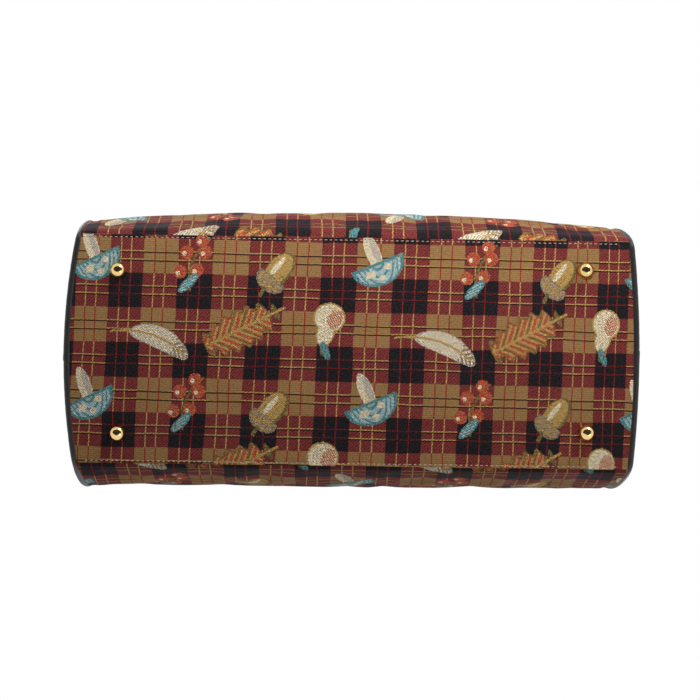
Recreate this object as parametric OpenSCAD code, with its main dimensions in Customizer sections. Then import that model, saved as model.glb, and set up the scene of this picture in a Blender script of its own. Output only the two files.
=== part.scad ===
// Soft holdall with a stiff flat base on four dome feet, a zip along the top and two rolled handles.
// Upright, length along X, front toward -Y, millimetres, feet on z = 0.

/* [Body] */
// Half width of the base between its long seams
base_half_w = 106.3; // [98:0.1:115]
// Underside of the base above the floor
base_z = 9.5; // [8.5:0.1:12]
// Half depth at the widest level of the ends
belly_half_w = 125; // [118:0.5:135]
// Level of the widest depth
belly_z = 95; // [80:1:120]
// Top of the body at the zip edges
top_z = 311; // [290:1:340]
// Half width of the slot between the two zip edges
mouth_half_w = 14; // [12.5:0.5:16]
// Half length of the body at the end seams
end_x = 252; // [235:0.5:270]
// How much shorter the end seams stand at the top
end_taper = 8; // [4:0.5:12]
// How far the middle of each base end bows out
base_bow = 9.75; // [6:0.05:12]
// Swell of the front panel at its middle
front_crown = 12; // [8:0.5:14]
// Swell of the back panel at its middle
back_crown = 3; // [2:0.5:6]
// Swell of each end panel at its middle
end_crown = 8; // [5:0.5:10]
// Thickness of a lined and padded panel
panel_t = 2.2; // [1.8:0.1:2.6]

/* [Trim] */
// Radius of the round piping at the ends
pipe_r = 3.25; // [2.8:0.05:3.6]
// Depth of the piping's middle under the panel face
pipe_sink = 2.2; // [1.8:0.1:2.6]
// Gap between sewn neighbours
seam_gap = 0.3; // [0.25:0.05:0.4]
// Depth of the lining under the panel face
lining_depth = 5; // [5:0.1:5.8]
// Thickness of the lining
lining_t = 0.8; // [0.6:0.1:1]

/* [Base hardware] */
// Distance of each foot from the end seam
foot_in_x = 37; // [27:0.5:57]
// Distance of each foot from the long base seam
foot_in_y = 31.6; // [22:0.1:45]
// Turn of the feet's rectangle against the base seams, in degrees
foot_skew = -0.8; // [-2:0.1:2]
// Radius of a dome foot
foot_r = 7.5; // [6.5:0.1:8]
// Radius of the flat that each foot stands on
foot_flat_r = 2; // [1.5:0.1:3]
// Thickness of the stiff board
board_t = 3; // [2:0.1:4]
// Thickness of the foot washers and prongs
prong_t = 0.8; // [0.6:0.1:1]

/* [Zip] */
// Distance between two teeth of one row
zip_pitch = 4; // [3.6:0.1:4.6]
// Room on each side of a tooth between its neighbours
tooth_clear = 0.1; // [0.05:0.01:0.15]
// Thickness of the teeth
tooth_t = 2.6; // [2.2:0.1:3]
// Thickness of the zip tapes
tape_t = 0.6; // [0.5:0.05:0.8]
// Room between the resting slider and the end of the tapes
zip_end_room = 26.45; // [24:0.05:40]

/* [Handles] */
// Distance of each handle foot from the middle
handle_x = 95; // [70:1:120]
// Height of a handle's arch over its rings
handle_h = 205; // [180:1:230]
// Radius of the rolled part of a handle
roll_r = 7.5; // [6:0.1:9]
// Radius of the ring wire
wire_r = 2; // [1.7:0.1:2.3]
// Distance between the two bars of a ring
ring_h = 15; // [13:0.5:18]
// Radius of an end ring's bow
bow_r = 15; // [14:0.5:17]
// Thickness of the folded leatherette
leather_t = 2.4; // [2:0.1:3]
// Running clearance of a bar in its loop
bar_clear = 0.1; // [0.05:0.01:0.15]

/* [Hidden] */
$fn = 64;

// The whole bag stands back by half the difference of its swells, so that its box is centred
centre_y = (front_crown - back_crown) / 2;
module in_place() {
    translate([0, centre_y, 0]) children();
}

// Share of the outline that lies under the belly
low_part = 0.26;
// Where the piping starts to turn at each base corner, and how much more the end panel is cut there
corner_cut = 7;
corner_trim = 1.8;
// The outline of one side, as [distance from the middle plane, height], in two smooth curves
low_curve = [
    [base_half_w, base_z],
    [base_half_w + 10.7, base_z + 22.5],
    [belly_half_w, belly_z - 33],
    [belly_half_w, belly_z]
];
high_curve = [
    [belly_half_w, belly_z],
    [belly_half_w, belly_z + 90],
    [mouth_half_w + 70, top_z - 5],
    [mouth_half_w, top_z]
];

function unit(v) = v / norm(v);
function bez(p, u) =
    pow(1 - u, 3) * p[0] + 3 * pow(1 - u, 2) * u * p[1] + 3 * (1 - u) * u * u * p[2] + pow(u, 3) * p[3];
function bez_dir(p, u) =
    unit(pow(1 - u, 2) * (p[1] - p[0]) + 2 * (1 - u) * u * (p[2] - p[1]) + u * u * (p[3] - p[2]));
function side_point(t) =
    t < low_part ? bez(low_curve, t / low_part) : bez(high_curve, (t - low_part) / (1 - low_part));
function side_dir(t) =
    t < low_part ? bez_dir(low_curve, t / low_part) : bez_dir(high_curve, (t - low_part) / (1 - low_part));
function side_normal(t) = [side_dir(t)[1], -side_dir(t)[0]];
// The same outline moved inward by a depth
function side_in(t, depth) = side_point(t) - depth * side_normal(t);

// Reach of the end seams, and the swell of a side panel over its height and length
function seam_x(t) = end_x - end_taper * t * t;
function swell(t) = sin(180 * pow(t, 0.6));
function swell_along(s) = 1 - pow(abs(s), 2.4);
function panel_side(s, t, crown, depth) = side_in(t, depth - crown * swell(t) * swell_along(s));
function panel_point(s, t, crown, depth) =
    let (p = panel_side(s, t, crown, depth))
    [s * (seam_x(t) - pipe_r - seam_gap), -p[0], p[1]];

// A point of an end panel: v runs from the front edge to the back edge
rim_inset = pipe_sink + pipe_r + seam_gap;
function end_face_x(t, v) =
    seam_x(t) + panel_t / 2 + (1 - v * v) * (base_bow * pow(1 - t, 2) + end_crown * sin(180 * t));
function end_rim(t) =
    t == 0 ? [base_half_w - corner_cut - corner_trim, base_z + rim_inset] : side_in(t, rim_inset);
function end_point(t, v, depth) =
    let (p = end_rim(t))
    [end_face_x(t, v) - depth, v * p[0], p[1]];

// Faces of a sheet with an outer and an inner grid of points
function sheet_faces(nr, nc) =
    let (o = nr * nc)
    concat(
        [for (i = [0 : nr - 2], j = [0 : nc - 2]) each
            let (a = i * nc + j, b = a + 1, c = a + nc + 1, d = a + nc)
            [[a, d, c], [a, c, b], [a + o, b + o, c + o], [a + o, c + o, d + o]]],
        [for (j = [0 : nc - 2]) each
            let (a = j, b = j + 1, d = (nr - 1) * nc + j, c = d + 1)
            [[a, b, b + o], [a, b + o, a + o], [c, d, d + o], [c, d + o, c + o]]],
        [for (i = [0 : nr - 2]) each
            let (a = i * nc, d = a + nc, b = a + nc - 1, c = b + nc)
            [[d, a, a + o], [d, a + o, d + o], [b, c, c + o], [b, c + o, b + o]]]
    );

side_rows = 15;
side_cols = 23;
module side_panel(crown) {
    points = [
        for (depth = [0, panel_t], i = [0 : side_rows - 1], j = [0 : side_cols - 1])
            panel_point(2 * j / (side_cols - 1) - 1, i / (side_rows - 1), crown, depth)
    ];
    polyhedron(points, sheet_faces(side_rows, side_cols), convexity = 6);
}

end_rows = 15;
end_cols = 13;
end_low_t = 0.045;
function end_t(i) = i == 0 ? 0 : end_low_t + (1 - end_low_t) * (i - 1) / (end_rows - 2);
module end_panel() {
    points = [
        for (depth = [0, panel_t], i = [0 : end_rows - 1], j = [0 : end_cols - 1])
            end_point(end_t(i), 2 * j / (end_cols - 1) - 1, depth)
    ];
    polyhedron(points, sheet_faces(end_rows, end_cols), convexity = 6);
}

// Middle line of the piping round one end, as points in space, up the front and down the back
side_steps = 22;
base_steps = 12;
corner_steps = 4;
corner_t = 0.06;
corner_y = base_half_w - corner_cut;
function step_t(i) = corner_t + (1 - corner_t) * i / (side_steps - 1);
function pipe_side(t, way) =
    let (p = side_in(t, pipe_sink))
    [seam_x(t), way * p[0], p[1]];
function pipe_base(y) =
    [end_x + base_bow * (1 - pow(y / base_half_w, 2)), y, base_z + pipe_sink];
// Round turn from the base to a side, through the corner where the two would meet
function pipe_corner(u, way) =
    let (corner = [end_x, way * (base_half_w - pipe_sink / 2), base_z + pipe_sink])
    pow(1 - u, 2) * pipe_base(way * corner_y) + 2 * (1 - u) * u * corner + u * u * pipe_side(corner_t, way);
pipe_line = concat(
    [for (i = [0 : side_steps - 1]) pipe_side(step_t(i), -1)],
    [for (i = [side_steps - 1 : -1 : 0]) pipe_side(step_t(i), 1)],
    [for (i = [corner_steps - 1 : -1 : 1]) pipe_corner(i / corner_steps, 1)],
    [for (i = [0 : base_steps]) pipe_base(corner_y * (1 - 2 * i / base_steps))],
    [for (i = [1 : corner_steps - 1]) pipe_corner(i / corner_steps, -1)]
);

pipe_sides = 10;
module piping() {
    n = len(pipe_line);
    points = [
        for (i = [0 : n - 1], k = [0 : pipe_sides - 1])
            let (
                d = unit(pipe_line[(i + 1) % n] - pipe_line[(i + n - 1) % n]),
                out = unit([0, -d[2], d[1]]),
                a = 360 * k / pipe_sides
            )
            pipe_line[i] + pipe_r * (cos(a) * out + sin(a) * [1, 0, 0])
    ];
    faces = [
        for (i = [0 : n - 1], k = [0 : pipe_sides - 1]) each
            let (
                a = i * pipe_sides + k,
                b = ((i + 1) % n) * pipe_sides + k,
                c = ((i + 1) % n) * pipe_sides + (k + 1) % pipe_sides,
                d = i * pipe_sides + (k + 1) % pipe_sides
            )
            [[a, b, c], [a, c, d]]
    ];
    polyhedron(points, faces, convexity = 4);
}

// Base, board, lining
foot_x = end_x - foot_in_x;
foot_y = base_half_w - foot_in_y;
prong_hole_r = 2.6;
board_z = base_z + panel_t + seam_gap;
washer_z = board_z + board_t;
lining_z = washer_z + 2 * prong_t + 0.4;
base_end = end_x + base_bow - pipe_r - seam_gap;
base_end_r = (base_half_w * base_half_w + base_bow * base_bow) / (2 * base_bow);
base_edge = base_half_w - panel_t * side_normal(0)[0] - seam_gap;

module foot_place(x, y) {
    rotate([0, 0, foot_skew]) translate([x, y, 0]) children();
}
module foot_places() {
    for (x = [-foot_x, foot_x], y = [-foot_y, foot_y])
        foot_place(x, y) children();
}

module base_panel() {
    color("sienna") in_place()
    difference() {
        translate([0, 0, base_z])
        linear_extrude(panel_t)
        intersection() {
            square([2 * base_end, 2 * base_edge], center = true);
            translate([base_end - base_end_r, 0]) circle(base_end_r, $fn = 180);
            translate([base_end_r - base_end, 0]) circle(base_end_r, $fn = 180);
        }
        foot_places() translate([0, 0, base_z - 1]) cylinder(panel_t + 2, r = prong_hole_r);
    }
}

board_half_l = end_x - 14;
board_half_w = base_edge - 9;
board_corner_r = 12;
module base_board() {
    color("tan") in_place()
    difference() {
        translate([0, 0, board_z])
        linear_extrude(board_t) {
            square([2 * board_half_l, 2 * (board_half_w - board_corner_r)], center = true);
            square([2 * (board_half_l - board_corner_r), 2 * board_half_w], center = true);
            for (x = [-1, 1], y = [-1, 1])
                translate([x * (board_half_l - board_corner_r), y * (board_half_w - board_corner_r)])
                circle(board_corner_r);
        }
        foot_places() translate([0, 0, board_z - 1]) cylinder(board_t + 2, r = prong_hole_r);
    }
}

// Outline of the lining at a depth, open at the top
lining_steps = 16;
lining_low_t = 0.07;
lining_half_l = seam_x(1) - pipe_r - 1.75;
function lining_t_at(i) = lining_low_t + (1 - lining_low_t) * i / lining_steps;
function lining_side(depth, way) =
    [for (i = [0 : lining_steps]) let (p = side_in(lining_t_at(i), depth)) [way * p[0], p[1]]];
function turned(list) = [for (i = [len(list) - 1 : -1 : 0]) list[i]];
function lining_bow(depth, floor_z) =
    let (y = side_in(lining_low_t, depth)[0] - 4)
    concat(turned(lining_side(depth, -1)), [[-y, floor_z], [y, floor_z]], lining_side(depth, 1));
module lining() {
    outer = lining_bow(lining_depth, lining_z);
    inner = lining_bow(lining_depth + lining_t, lining_z + lining_t);
    color("dimgray") in_place()
    rotate([90, 0, 90]) {
        translate([0, 0, -lining_half_l])
        linear_extrude(2 * lining_half_l)
        polygon(concat(outer, turned(inner)));
        for (z = [-lining_half_l, lining_half_l - lining_t])
            translate([0, 0, z])
            linear_extrude(lining_t)
            polygon(outer);
    }
}

// Dome foot with two prongs that fold over a washer on the board
foot_mid_z = sqrt(foot_r * foot_r - foot_flat_r * foot_flat_r);
prong_w = 3.6;
prong_reach = 6;
prong_y = 0.8;
module foot(x, y) {
    color("gold") in_place()
    foot_place(x, y) {
        rotate_extrude() {
            intersection() {
                translate([0, foot_mid_z]) circle(foot_r);
                square([foot_r, foot_mid_z]);
            }
            translate([0, foot_mid_z]) square([foot_r, base_z - foot_mid_z]);
        }
        for (way = [0, 180])
            rotate([0, 0, way]) {
                translate([-prong_w / 2, prong_y, base_z - 1])
                cube([prong_w, prong_t, washer_z + 2 * prong_t - base_z + 1]);
                translate([-prong_w / 2, prong_y, washer_z + prong_t])
                cube([prong_w, prong_reach, prong_t]);
            }
    }
}
module front_left_foot() { foot(-foot_x, -foot_y); }
module front_right_foot() { foot(foot_x, -foot_y); }
module back_left_foot() { foot(-foot_x, foot_y); }
module back_right_foot() { foot(foot_x, foot_y); }

washer_r = 8;
module foot_washers() {
    color("silver") in_place()
    foot_places()
    translate([0, 0, washer_z])
    difference() {
        cylinder(prong_t, r = washer_r);
        translate([0, 0, -1]) cylinder(prong_t + 2, r = prong_hole_r);
    }
}

module front_panel() {
    color("maroon") in_place() side_panel(front_crown);
}
module back_panel() {
    color("maroon") in_place() mirror([0, 1, 0]) side_panel(back_crown);
}
module right_end_panel() {
    color("maroon") in_place() end_panel();
}
module left_end_panel() {
    color("maroon") in_place() mirror([1, 0, 0]) end_panel();
}
module right_piping() {
    color([0.12, 0.12, 0.13]) in_place() piping();
}
module left_piping() {
    color([0.12, 0.12, 0.13]) in_place() mirror([1, 0, 0]) piping();
}

// Zip: the teeth of the two rows stand between each other
tape_lap = 6.5;
tape_out = mouth_half_w + tape_lap;
tape_in = 3.2;
bead_out = 3;
bead_in = 1;
tooth_tip = 0.8;
tip_taper = 0.15;
tape_z = top_z - panel_t - 2.5;
tooth_w = zip_pitch / 2 - 2 * tooth_clear;
chain_z = tape_z + tape_t / 2;
chain_low = chain_z - tooth_t / 2;
chain_high = chain_z + tooth_t / 2;
slider_l = 15;
tape_half_l = seam_x(1) - pipe_r - seam_gap;
slider_x = tape_half_l - zip_end_room;
slider_travel = 2 * slider_x - 13;
chain_end = slider_x + 1.5;
teeth = floor((slider_travel + slider_l / 2 + 2) / zip_pitch);
chain_start = chain_end - teeth * zip_pitch - zip_pitch / 2;

module zip_tape() {
    translate([-tape_half_l, -tape_out, tape_z])
    cube([2 * tape_half_l, tape_out - tape_in, tape_t]);
}
module teeth_row(shift) {
    translate([0, 0, chain_low])
    linear_extrude(tooth_t)
    polygon(concat(
        [[chain_end, -bead_in], [chain_end, -bead_out], [chain_start, -bead_out], [chain_start, -bead_in]],
        [for (k = [0 : teeth - 1]) each
            let (x = chain_start + shift + zip_pitch * (k + 0.5))
            [
                [x - tooth_w / 2, -bead_in],
                [x - tooth_w / 2 + tip_taper, tooth_tip],
                [x + tooth_w / 2 - tip_taper, tooth_tip],
                [x + tooth_w / 2, -bead_in]
            ]]
    ));
}
module front_zip_tape() {
    color([0.1, 0.1, 0.1]) in_place() zip_tape();
}
module back_zip_tape() {
    color([0.1, 0.1, 0.1]) in_place() mirror([0, 1, 0]) zip_tape();
}
module front_zip_teeth() {
    color("goldenrod") in_place() teeth_row(0);
}
module back_zip_teeth() {
    color("goldenrod") in_place() mirror([0, 1, 0]) teeth_row(zip_pitch / 2);
}

// Slider: two plates joined by a post that parts the rows, with a pin for the pull on top
slider_half_w = 5.5;
slider_plate = 1.2;
slider_gap = 0.25;
flange_w = 1.4;
post_l = 3;
pin_r = 0.9;
lug_w = 0.9;
lug_r = 1.6;
knuckle_w = 4;
slider_top = chain_high + slider_gap + slider_plate;
slider_low = chain_low - slider_gap - slider_plate;
pin_z = slider_top + 1.5;
pin_x = slider_x + 1;
stop_l = 2.5;
stop_x = slider_x + slider_l / 2 + 0.5;
stop_out = tape_in - 0.2;

module zip_stops() {
    color("goldenrod") in_place() {
        for (y = [-stop_out, 1.2])
            translate([stop_x, y, chain_low]) cube([stop_l, stop_out - 1.2, tooth_t]);
        translate([chain_start - 0.3 - stop_l, -stop_out, chain_low])
        cube([stop_l, 2 * stop_out, tooth_t]);
    }
}

module slider_plan() {
    intersection() {
        square([slider_l, 2 * slider_half_w], center = true);
        translate([-2, 0]) circle(slider_l / 2 + 3.2);
        translate([slider_l / 2 - 9.5, 0]) circle(10.2);
    }
}
module zip_slider() {
    color("goldenrod") in_place() {
        for (z = [slider_low, slider_top - slider_plate])
            translate([slider_x, 0, z]) linear_extrude(slider_plate) slider_plan();
        for (way = [-1, 1]) {
            flange_h = (tooth_t - tape_t) / 2;
            for (z = [slider_top - slider_plate - flange_h, slider_low + slider_plate])
                translate([slider_x - slider_l / 2 + 3, way * (slider_half_w - flange_w / 2) - flange_w / 2, z])
                cube([slider_l - 7, flange_w, flange_h]);
        }
        translate([slider_x + 3, 0, slider_low + slider_plate / 2])
        linear_extrude(slider_top - slider_low - slider_plate)
        polygon([[0, -0.6], [post_l, -1], [post_l + 0.8, 0], [post_l, 1], [0, 0.6]]);
        for (way = [-1, 1])
            translate([pin_x, way * (knuckle_w / 2 + 0.25 + lug_w / 2), pin_z])
            rotate([90, 0, 0])
            linear_extrude(lug_w, center = true) {
                circle(lug_r);
                translate([-lug_r, slider_top - slider_plate / 2 - pin_z])
                square([2 * lug_r, pin_z - slider_top + slider_plate / 2]);
            }
        translate([pin_x, 0, pin_z])
        rotate([90, 0, 0])
        cylinder(knuckle_w + 1, r = pin_r, center = true);
    }
}

pull_l = 34;
pull_w = 9;
pull_t = 1.3;
pull_tilt = 3.3;
module zip_pull() {
    color("goldenrod") in_place()
    translate([pin_x, 0, pin_z])
    rotate([0, -pull_tilt, 0])
    difference() {
        union() {
            rotate([90, 0, 0]) cylinder(knuckle_w, r = lug_r - 0.2, center = true);
            translate([-6, -knuckle_w / 2, -pull_t / 2]) cube([6, knuckle_w, pull_t]);
            translate([0, 0, -pull_t / 2])
            linear_extrude(pull_t)
            difference() {
                union() {
                    translate([-8.5, 0]) circle(pull_w / 2 - 1);
                    translate([-pull_l + pull_w / 2, 0]) circle(pull_w / 2);
                    translate([-pull_l + pull_w / 2, -pull_w / 2 + 1]) square([pull_l - pull_w / 2 - 8.5, pull_w - 2]);
                }
                translate([-pull_l + pull_w / 2, 0]) circle(pull_w / 4);
            }
        }
        rotate([90, 0, 0]) cylinder(knuckle_w + 2, r = pin_r + bar_clear, center = true);
    }
}

// Handle tab: a strip on the panel whose upper end folds round the ring's lower bar
loop_bore = wire_r + bar_clear;
loop_r = loop_bore + leather_t;
loop_w = 25;
loop_lift = 0.3;
tab_low_t = 0.53;
tab_high_t = 0.68;
tab_gap = 0.45;
tab_steps = 8;
handle_s = handle_x / (end_x - pipe_r - seam_gap);
function tab_strip(crown, depth) =
    [for (i = [0 : tab_steps])
        panel_side(handle_s, tab_low_t + (tab_high_t - tab_low_t) * i / tab_steps, crown, depth)];
function pivot(crown) = panel_side(handle_s, tab_high_t, crown, -tab_gap - loop_r - loop_lift);
module tab(crown) {
    a = pivot(crown);
    low = panel_side(handle_s, tab_low_t, crown, 0)[1];
    intersection() {
        rotate([90, 0, -90])
        linear_extrude(loop_w, center = true)
        difference() {
            union() {
                polygon(concat(tab_strip(crown, -tab_gap - leather_t), turned(tab_strip(crown, -tab_gap))));
                translate(a) circle(loop_r);
            }
            translate(a) circle(loop_bore);
        }
        rotate([90, 0, 0])
        linear_extrude(2 * belly_half_w) {
            translate([0, low + loop_w / 2]) circle(loop_w / 2);
            translate([-loop_w / 2, low + loop_w / 2]) square([loop_w, top_z - low]);
        }
    }
}
module front_left_tab() {
    color([0.13, 0.12, 0.12]) in_place() translate([-handle_x, 0, 0]) tab(front_crown);
}
module front_right_tab() {
    color([0.13, 0.12, 0.12]) in_place() translate([handle_x, 0, 0]) tab(front_crown);
}
module back_left_tab() {
    color([0.13, 0.12, 0.12]) in_place() mirror([0, 1, 0]) translate([-handle_x, 0, 0]) tab(back_crown);
}
module back_right_tab() {
    color([0.13, 0.12, 0.12]) in_place() mirror([0, 1, 0]) translate([handle_x, 0, 0]) tab(back_crown);
}

// The two handles lean together until their rolls meet over the zip
handle_gap = 0.3;
function lean(crown) = asin((pivot(crown)[0] - roll_r - handle_gap / 2) / (ring_h + handle_h));
module at_pivot(crown) {
    a = pivot(crown);
    translate([0, -a[0], a[1]]) rotate([-lean(crown), 0, 0]) children();
}

// Ring in its own plane: lower bar on the X axis, upper bar above it
ring_corner = 2.8;
ring_half_w = loop_w / 2 + seam_gap + ring_corner;
module ring() {
    span = ring_half_w - ring_corner;
    rise = ring_h - 2 * ring_corner;
    for (z = [0, ring_h])
        translate([0, 0, z]) rotate([0, 90, 0]) cylinder(2 * span, r = wire_r, center = true);
    for (x = [-ring_half_w, ring_half_w])
        translate([x, 0, ring_corner]) cylinder(rise, r = wire_r);
    for (way = [0, 180])
        translate([0, 0, ring_h / 2])
        rotate([0, way, 0])
        for (up = [0, 1])
            translate([span, 0, (up * 2 - 1) * rise / 2])
            rotate([90, 0, 0])
            rotate([0, 0, up * 90 - 90])
            rotate_extrude(angle = 90) translate([ring_corner, 0]) circle(wire_r, $fn = 32);
}
module front_left_ring() {
    color("gold") in_place() at_pivot(front_crown) translate([-handle_x, 0, 0]) ring();
}
module front_right_ring() {
    color("gold") in_place() at_pivot(front_crown) translate([handle_x, 0, 0]) ring();
}
module back_left_ring() {
    color("gold") in_place() mirror([0, 1, 0]) at_pivot(back_crown) translate([-handle_x, 0, 0]) ring();
}
module back_right_ring() {
    color("gold") in_place() mirror([0, 1, 0]) at_pivot(back_crown) translate([handle_x, 0, 0]) ring();
}

// Loop at each end of a handle, folded round the ring's upper bar
strap_t = 5;
strap_h = 34;
module loop() {
    translate([0, 0, ring_h])
    rotate([90, 0, 90])
    linear_extrude(loop_w, center = true)
    difference() {
        union() {
            circle(loop_r);
            translate([-strap_t / 2, 0]) square([strap_t, strap_h]);
        }
        circle(loop_bore);
    }
}
module front_left_loop() {
    color([0.13, 0.12, 0.12]) in_place() at_pivot(front_crown) translate([-handle_x, 0, 0]) loop();
}
module front_right_loop() {
    color([0.13, 0.12, 0.12]) in_place() at_pivot(front_crown) translate([handle_x, 0, 0]) loop();
}
module back_left_loop() {
    color([0.13, 0.12, 0.12]) in_place() mirror([0, 1, 0]) at_pivot(back_crown) translate([-handle_x, 0, 0]) loop();
}
module back_right_loop() {
    color([0.13, 0.12, 0.12]) in_place() mirror([0, 1, 0]) at_pivot(back_crown) translate([handle_x, 0, 0]) loop();
}

// Rolled handle: flat where it leaves the loops, round along the arch
arch_z = 80;
leg_steps = 5;
arch_steps = 26;
roll_sides = 14;
roll_start = strap_h + seam_gap;
function leg_z(i) = roll_start + (arch_z - roll_start) * i / leg_steps;
function arch_at(a) = [handle_x * cos(a), arch_z + (handle_h - arch_z) * sin(a)];
roll_line = concat(
    [for (i = [0 : leg_steps - 1]) [handle_x, leg_z(i)]],
    [for (i = [0 : arch_steps]) arch_at(180 * i / arch_steps)],
    [for (i = [leg_steps - 1 : -1 : 0]) [-handle_x, leg_z(i)]]
);
// Zero on the flat ends, one on the round part
function roundness(z) =
    let (u = max(0, min(1, (z - roll_start) / (arch_z - roll_start))))
    u * u * (3 - 2 * u);
module handle() {
    n = len(roll_line);
    points = [
        for (i = [0 : n - 1], k = [0 : roll_sides - 1])
            let (
                d = unit(roll_line[min(i + 1, n - 1)] - roll_line[max(i - 1, 0)]),
                f = roundness(roll_line[i][1]),
                half_w = (loop_w / 2) * (1 - f) + roll_r * f,
                half_t = (strap_t / 2) * (1 - f) + roll_r * f,
                a = 360 * k / roll_sides
            )
            [
                roll_line[i][0] + d[1] * half_w * cos(a),
                half_t * sin(a),
                ring_h + roll_line[i][1] - d[0] * half_w * cos(a)
            ]
    ];
    faces = concat(
        [for (i = [0 : n - 2], k = [0 : roll_sides - 1]) each
            let (
                a = i * roll_sides + k,
                b = a + roll_sides,
                c = (i + 1) * roll_sides + (k + 1) % roll_sides,
                d = i * roll_sides + (k + 1) % roll_sides
            )
            [[a, b, c], [a, c, d]]],
        [[for (k = [0 : roll_sides - 1]) k]],
        [[for (k = [roll_sides - 1 : -1 : 0]) (n - 1) * roll_sides + k]]
    );
    polyhedron(points, faces, convexity = 6);
}
module front_handle() {
    color([0.13, 0.12, 0.12]) in_place() at_pivot(front_crown) handle();
}
module back_handle() {
    color([0.13, 0.12, 0.12]) in_place() mirror([0, 1, 0]) at_pivot(back_crown) handle();
}

// Tab and ring in the middle of each end, under the top seam
end_tab_w = 2 * (bow_r - wire_r) - 2;
end_tab_low_t = 0.75;
end_tab_high_t = 0.975;
function end_strip(depth) =
    [for (i = [0 : tab_steps])
        let (p = end_point(end_tab_low_t + (end_tab_high_t - end_tab_low_t) * i / tab_steps, 0, depth))
        [p[0], p[2]]];
end_bar = end_strip(-tab_gap - loop_r - loop_lift)[0];
module end_tab() {
    rotate([90, 0, 0])
    linear_extrude(end_tab_w, center = true)
    difference() {
        union() {
            polygon(concat(end_strip(-tab_gap - leather_t), turned(end_strip(-tab_gap))));
            translate(end_bar) circle(loop_r);
        }
        translate(end_bar) circle(loop_bore);
    }
}
module d_ring() {
    translate([end_bar[0], 0, end_bar[1]]) {
        rotate([90, 0, 0]) cylinder(2 * bow_r, r = wire_r, center = true);
        for (y = [-bow_r, bow_r])
            translate([0, y, 0]) sphere(wire_r);
        rotate([0, 90, 0])
        rotate([0, 0, -90])
        rotate_extrude(angle = 180) translate([bow_r, 0]) circle(wire_r, $fn = 32);
    }
}
module right_end_tab() {
    color([0.13, 0.12, 0.12]) in_place() end_tab();
}
module left_end_tab() {
    color([0.13, 0.12, 0.12]) in_place() mirror([1, 0, 0]) end_tab();
}
module right_d_ring() {
    color("gold") in_place() d_ring();
}
module left_d_ring() {
    color("gold") in_place() mirror([1, 0, 0]) d_ring();
}

base_panel();
front_panel();
back_panel();
left_end_panel();
right_end_panel();
left_piping();
right_piping();
base_board();
lining();
front_left_foot();
front_right_foot();
back_left_foot();
back_right_foot();
foot_washers();
front_zip_tape();
back_zip_tape();
front_zip_teeth();
back_zip_teeth();
zip_stops();
zip_slider();
zip_pull();
front_left_tab();
front_right_tab();
back_left_tab();
back_right_tab();
front_left_ring();
front_right_ring();
back_left_ring();
back_right_ring();
front_left_loop();
front_right_loop();
back_left_loop();
back_right_loop();
front_handle();
back_handle();
left_end_tab();
right_end_tab();
left_d_ring();
right_d_ring();
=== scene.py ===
# %% [markdown]
# # A soft holdall seen from below
# The real object is a cloth holdall: five panels of woven tapestry over a stiff base, leatherette piping
# round both ends, brass feet, a zip along the top and two rolled handles. The CAD model already gives every
# size and place. This lesson dresses it: each soft solid is replaced by a piece of cloth or leather with
# its own folds, and the metal pieces keep their CAD shape and get a finish.

# %% Load the CAD frame
import math

import bpy
from mathutils import Matrix, Vector, noise


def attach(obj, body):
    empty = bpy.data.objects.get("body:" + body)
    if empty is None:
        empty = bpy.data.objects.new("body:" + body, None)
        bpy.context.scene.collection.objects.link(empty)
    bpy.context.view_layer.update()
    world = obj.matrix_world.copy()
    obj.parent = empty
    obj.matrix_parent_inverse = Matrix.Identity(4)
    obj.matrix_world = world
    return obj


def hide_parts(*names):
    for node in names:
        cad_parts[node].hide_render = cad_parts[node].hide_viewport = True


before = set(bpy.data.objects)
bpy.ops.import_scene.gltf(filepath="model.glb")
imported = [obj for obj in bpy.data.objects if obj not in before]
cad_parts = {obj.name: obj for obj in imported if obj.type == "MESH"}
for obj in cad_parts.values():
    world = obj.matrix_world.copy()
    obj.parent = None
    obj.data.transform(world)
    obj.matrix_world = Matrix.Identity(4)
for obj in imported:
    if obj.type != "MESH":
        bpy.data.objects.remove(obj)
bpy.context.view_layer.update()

# %% [markdown]
# ## The outline that every panel hangs on
# Seen from the end, each half of the bag is two Bezier curves: base seam to belly, and belly to the zip.
# The CAD source uses the same curves, so they are written again here, in millimetres. Everything else asks
# these few functions for a place, and that keeps the cloth on the solids it stands for.

# %% Outline of the bag, in millimetres
MID_Y = 4.5
BASE_HALF, BASE_Z = 106.3, 9.5
BELLY_HALF, BELLY_Z = 125.0, 95.0
MOUTH_HALF, TOP_Z = 14.0, 311.0
LOWER = [(BASE_HALF, BASE_Z), (117.0, 32.0), (BELLY_HALF, 62.0), (BELLY_HALF, BELLY_Z)]
UPPER = [(BELLY_HALF, BELLY_Z), (BELLY_HALF, 185.0), (84.0, 306.0), (MOUTH_HALF, TOP_Z)]
LOWER_SHARE = 0.26


def bezier(points, u):
    """Point and direction on a cubic Bezier curve."""
    a, b, c, d = (Vector(p) for p in points)
    w = 1 - u
    place = w**3 * a + 3 * w * w * u * b + 3 * w * u * u * c + u**3 * d
    return place, (w * w * (b - a) + 2 * w * u * (c - b) + u * u * (d - c)).normalized()


def outline(t, depth=0.0):
    """Half width and height at share t of the side, moved in by a depth."""
    if t < LOWER_SHARE:
        place, way = bezier(LOWER, t / LOWER_SHARE)
    else:
        place, way = bezier(UPPER, (t - LOWER_SHARE) / (1 - LOWER_SHARE))
    return place - depth * Vector((way.y, -way.x))


END_X, END_LEAN, END_BOW = 252.0, 8.0, 9.75
SQUARE, SQUARE_SHARE = 4.0, 0.4
SLUMP, SLUMP_SHARE = 4.5, 0.55


def seam_x(t, way=-1):
    """Place of an end seam along the bag. The right end stands a little squarer where it meets the base."""
    square = SQUARE * max(0, 1 - t / SQUARE_SHARE) ** 2 if way > 0 else 0
    return END_X - END_LEAN * t * t + square


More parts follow.
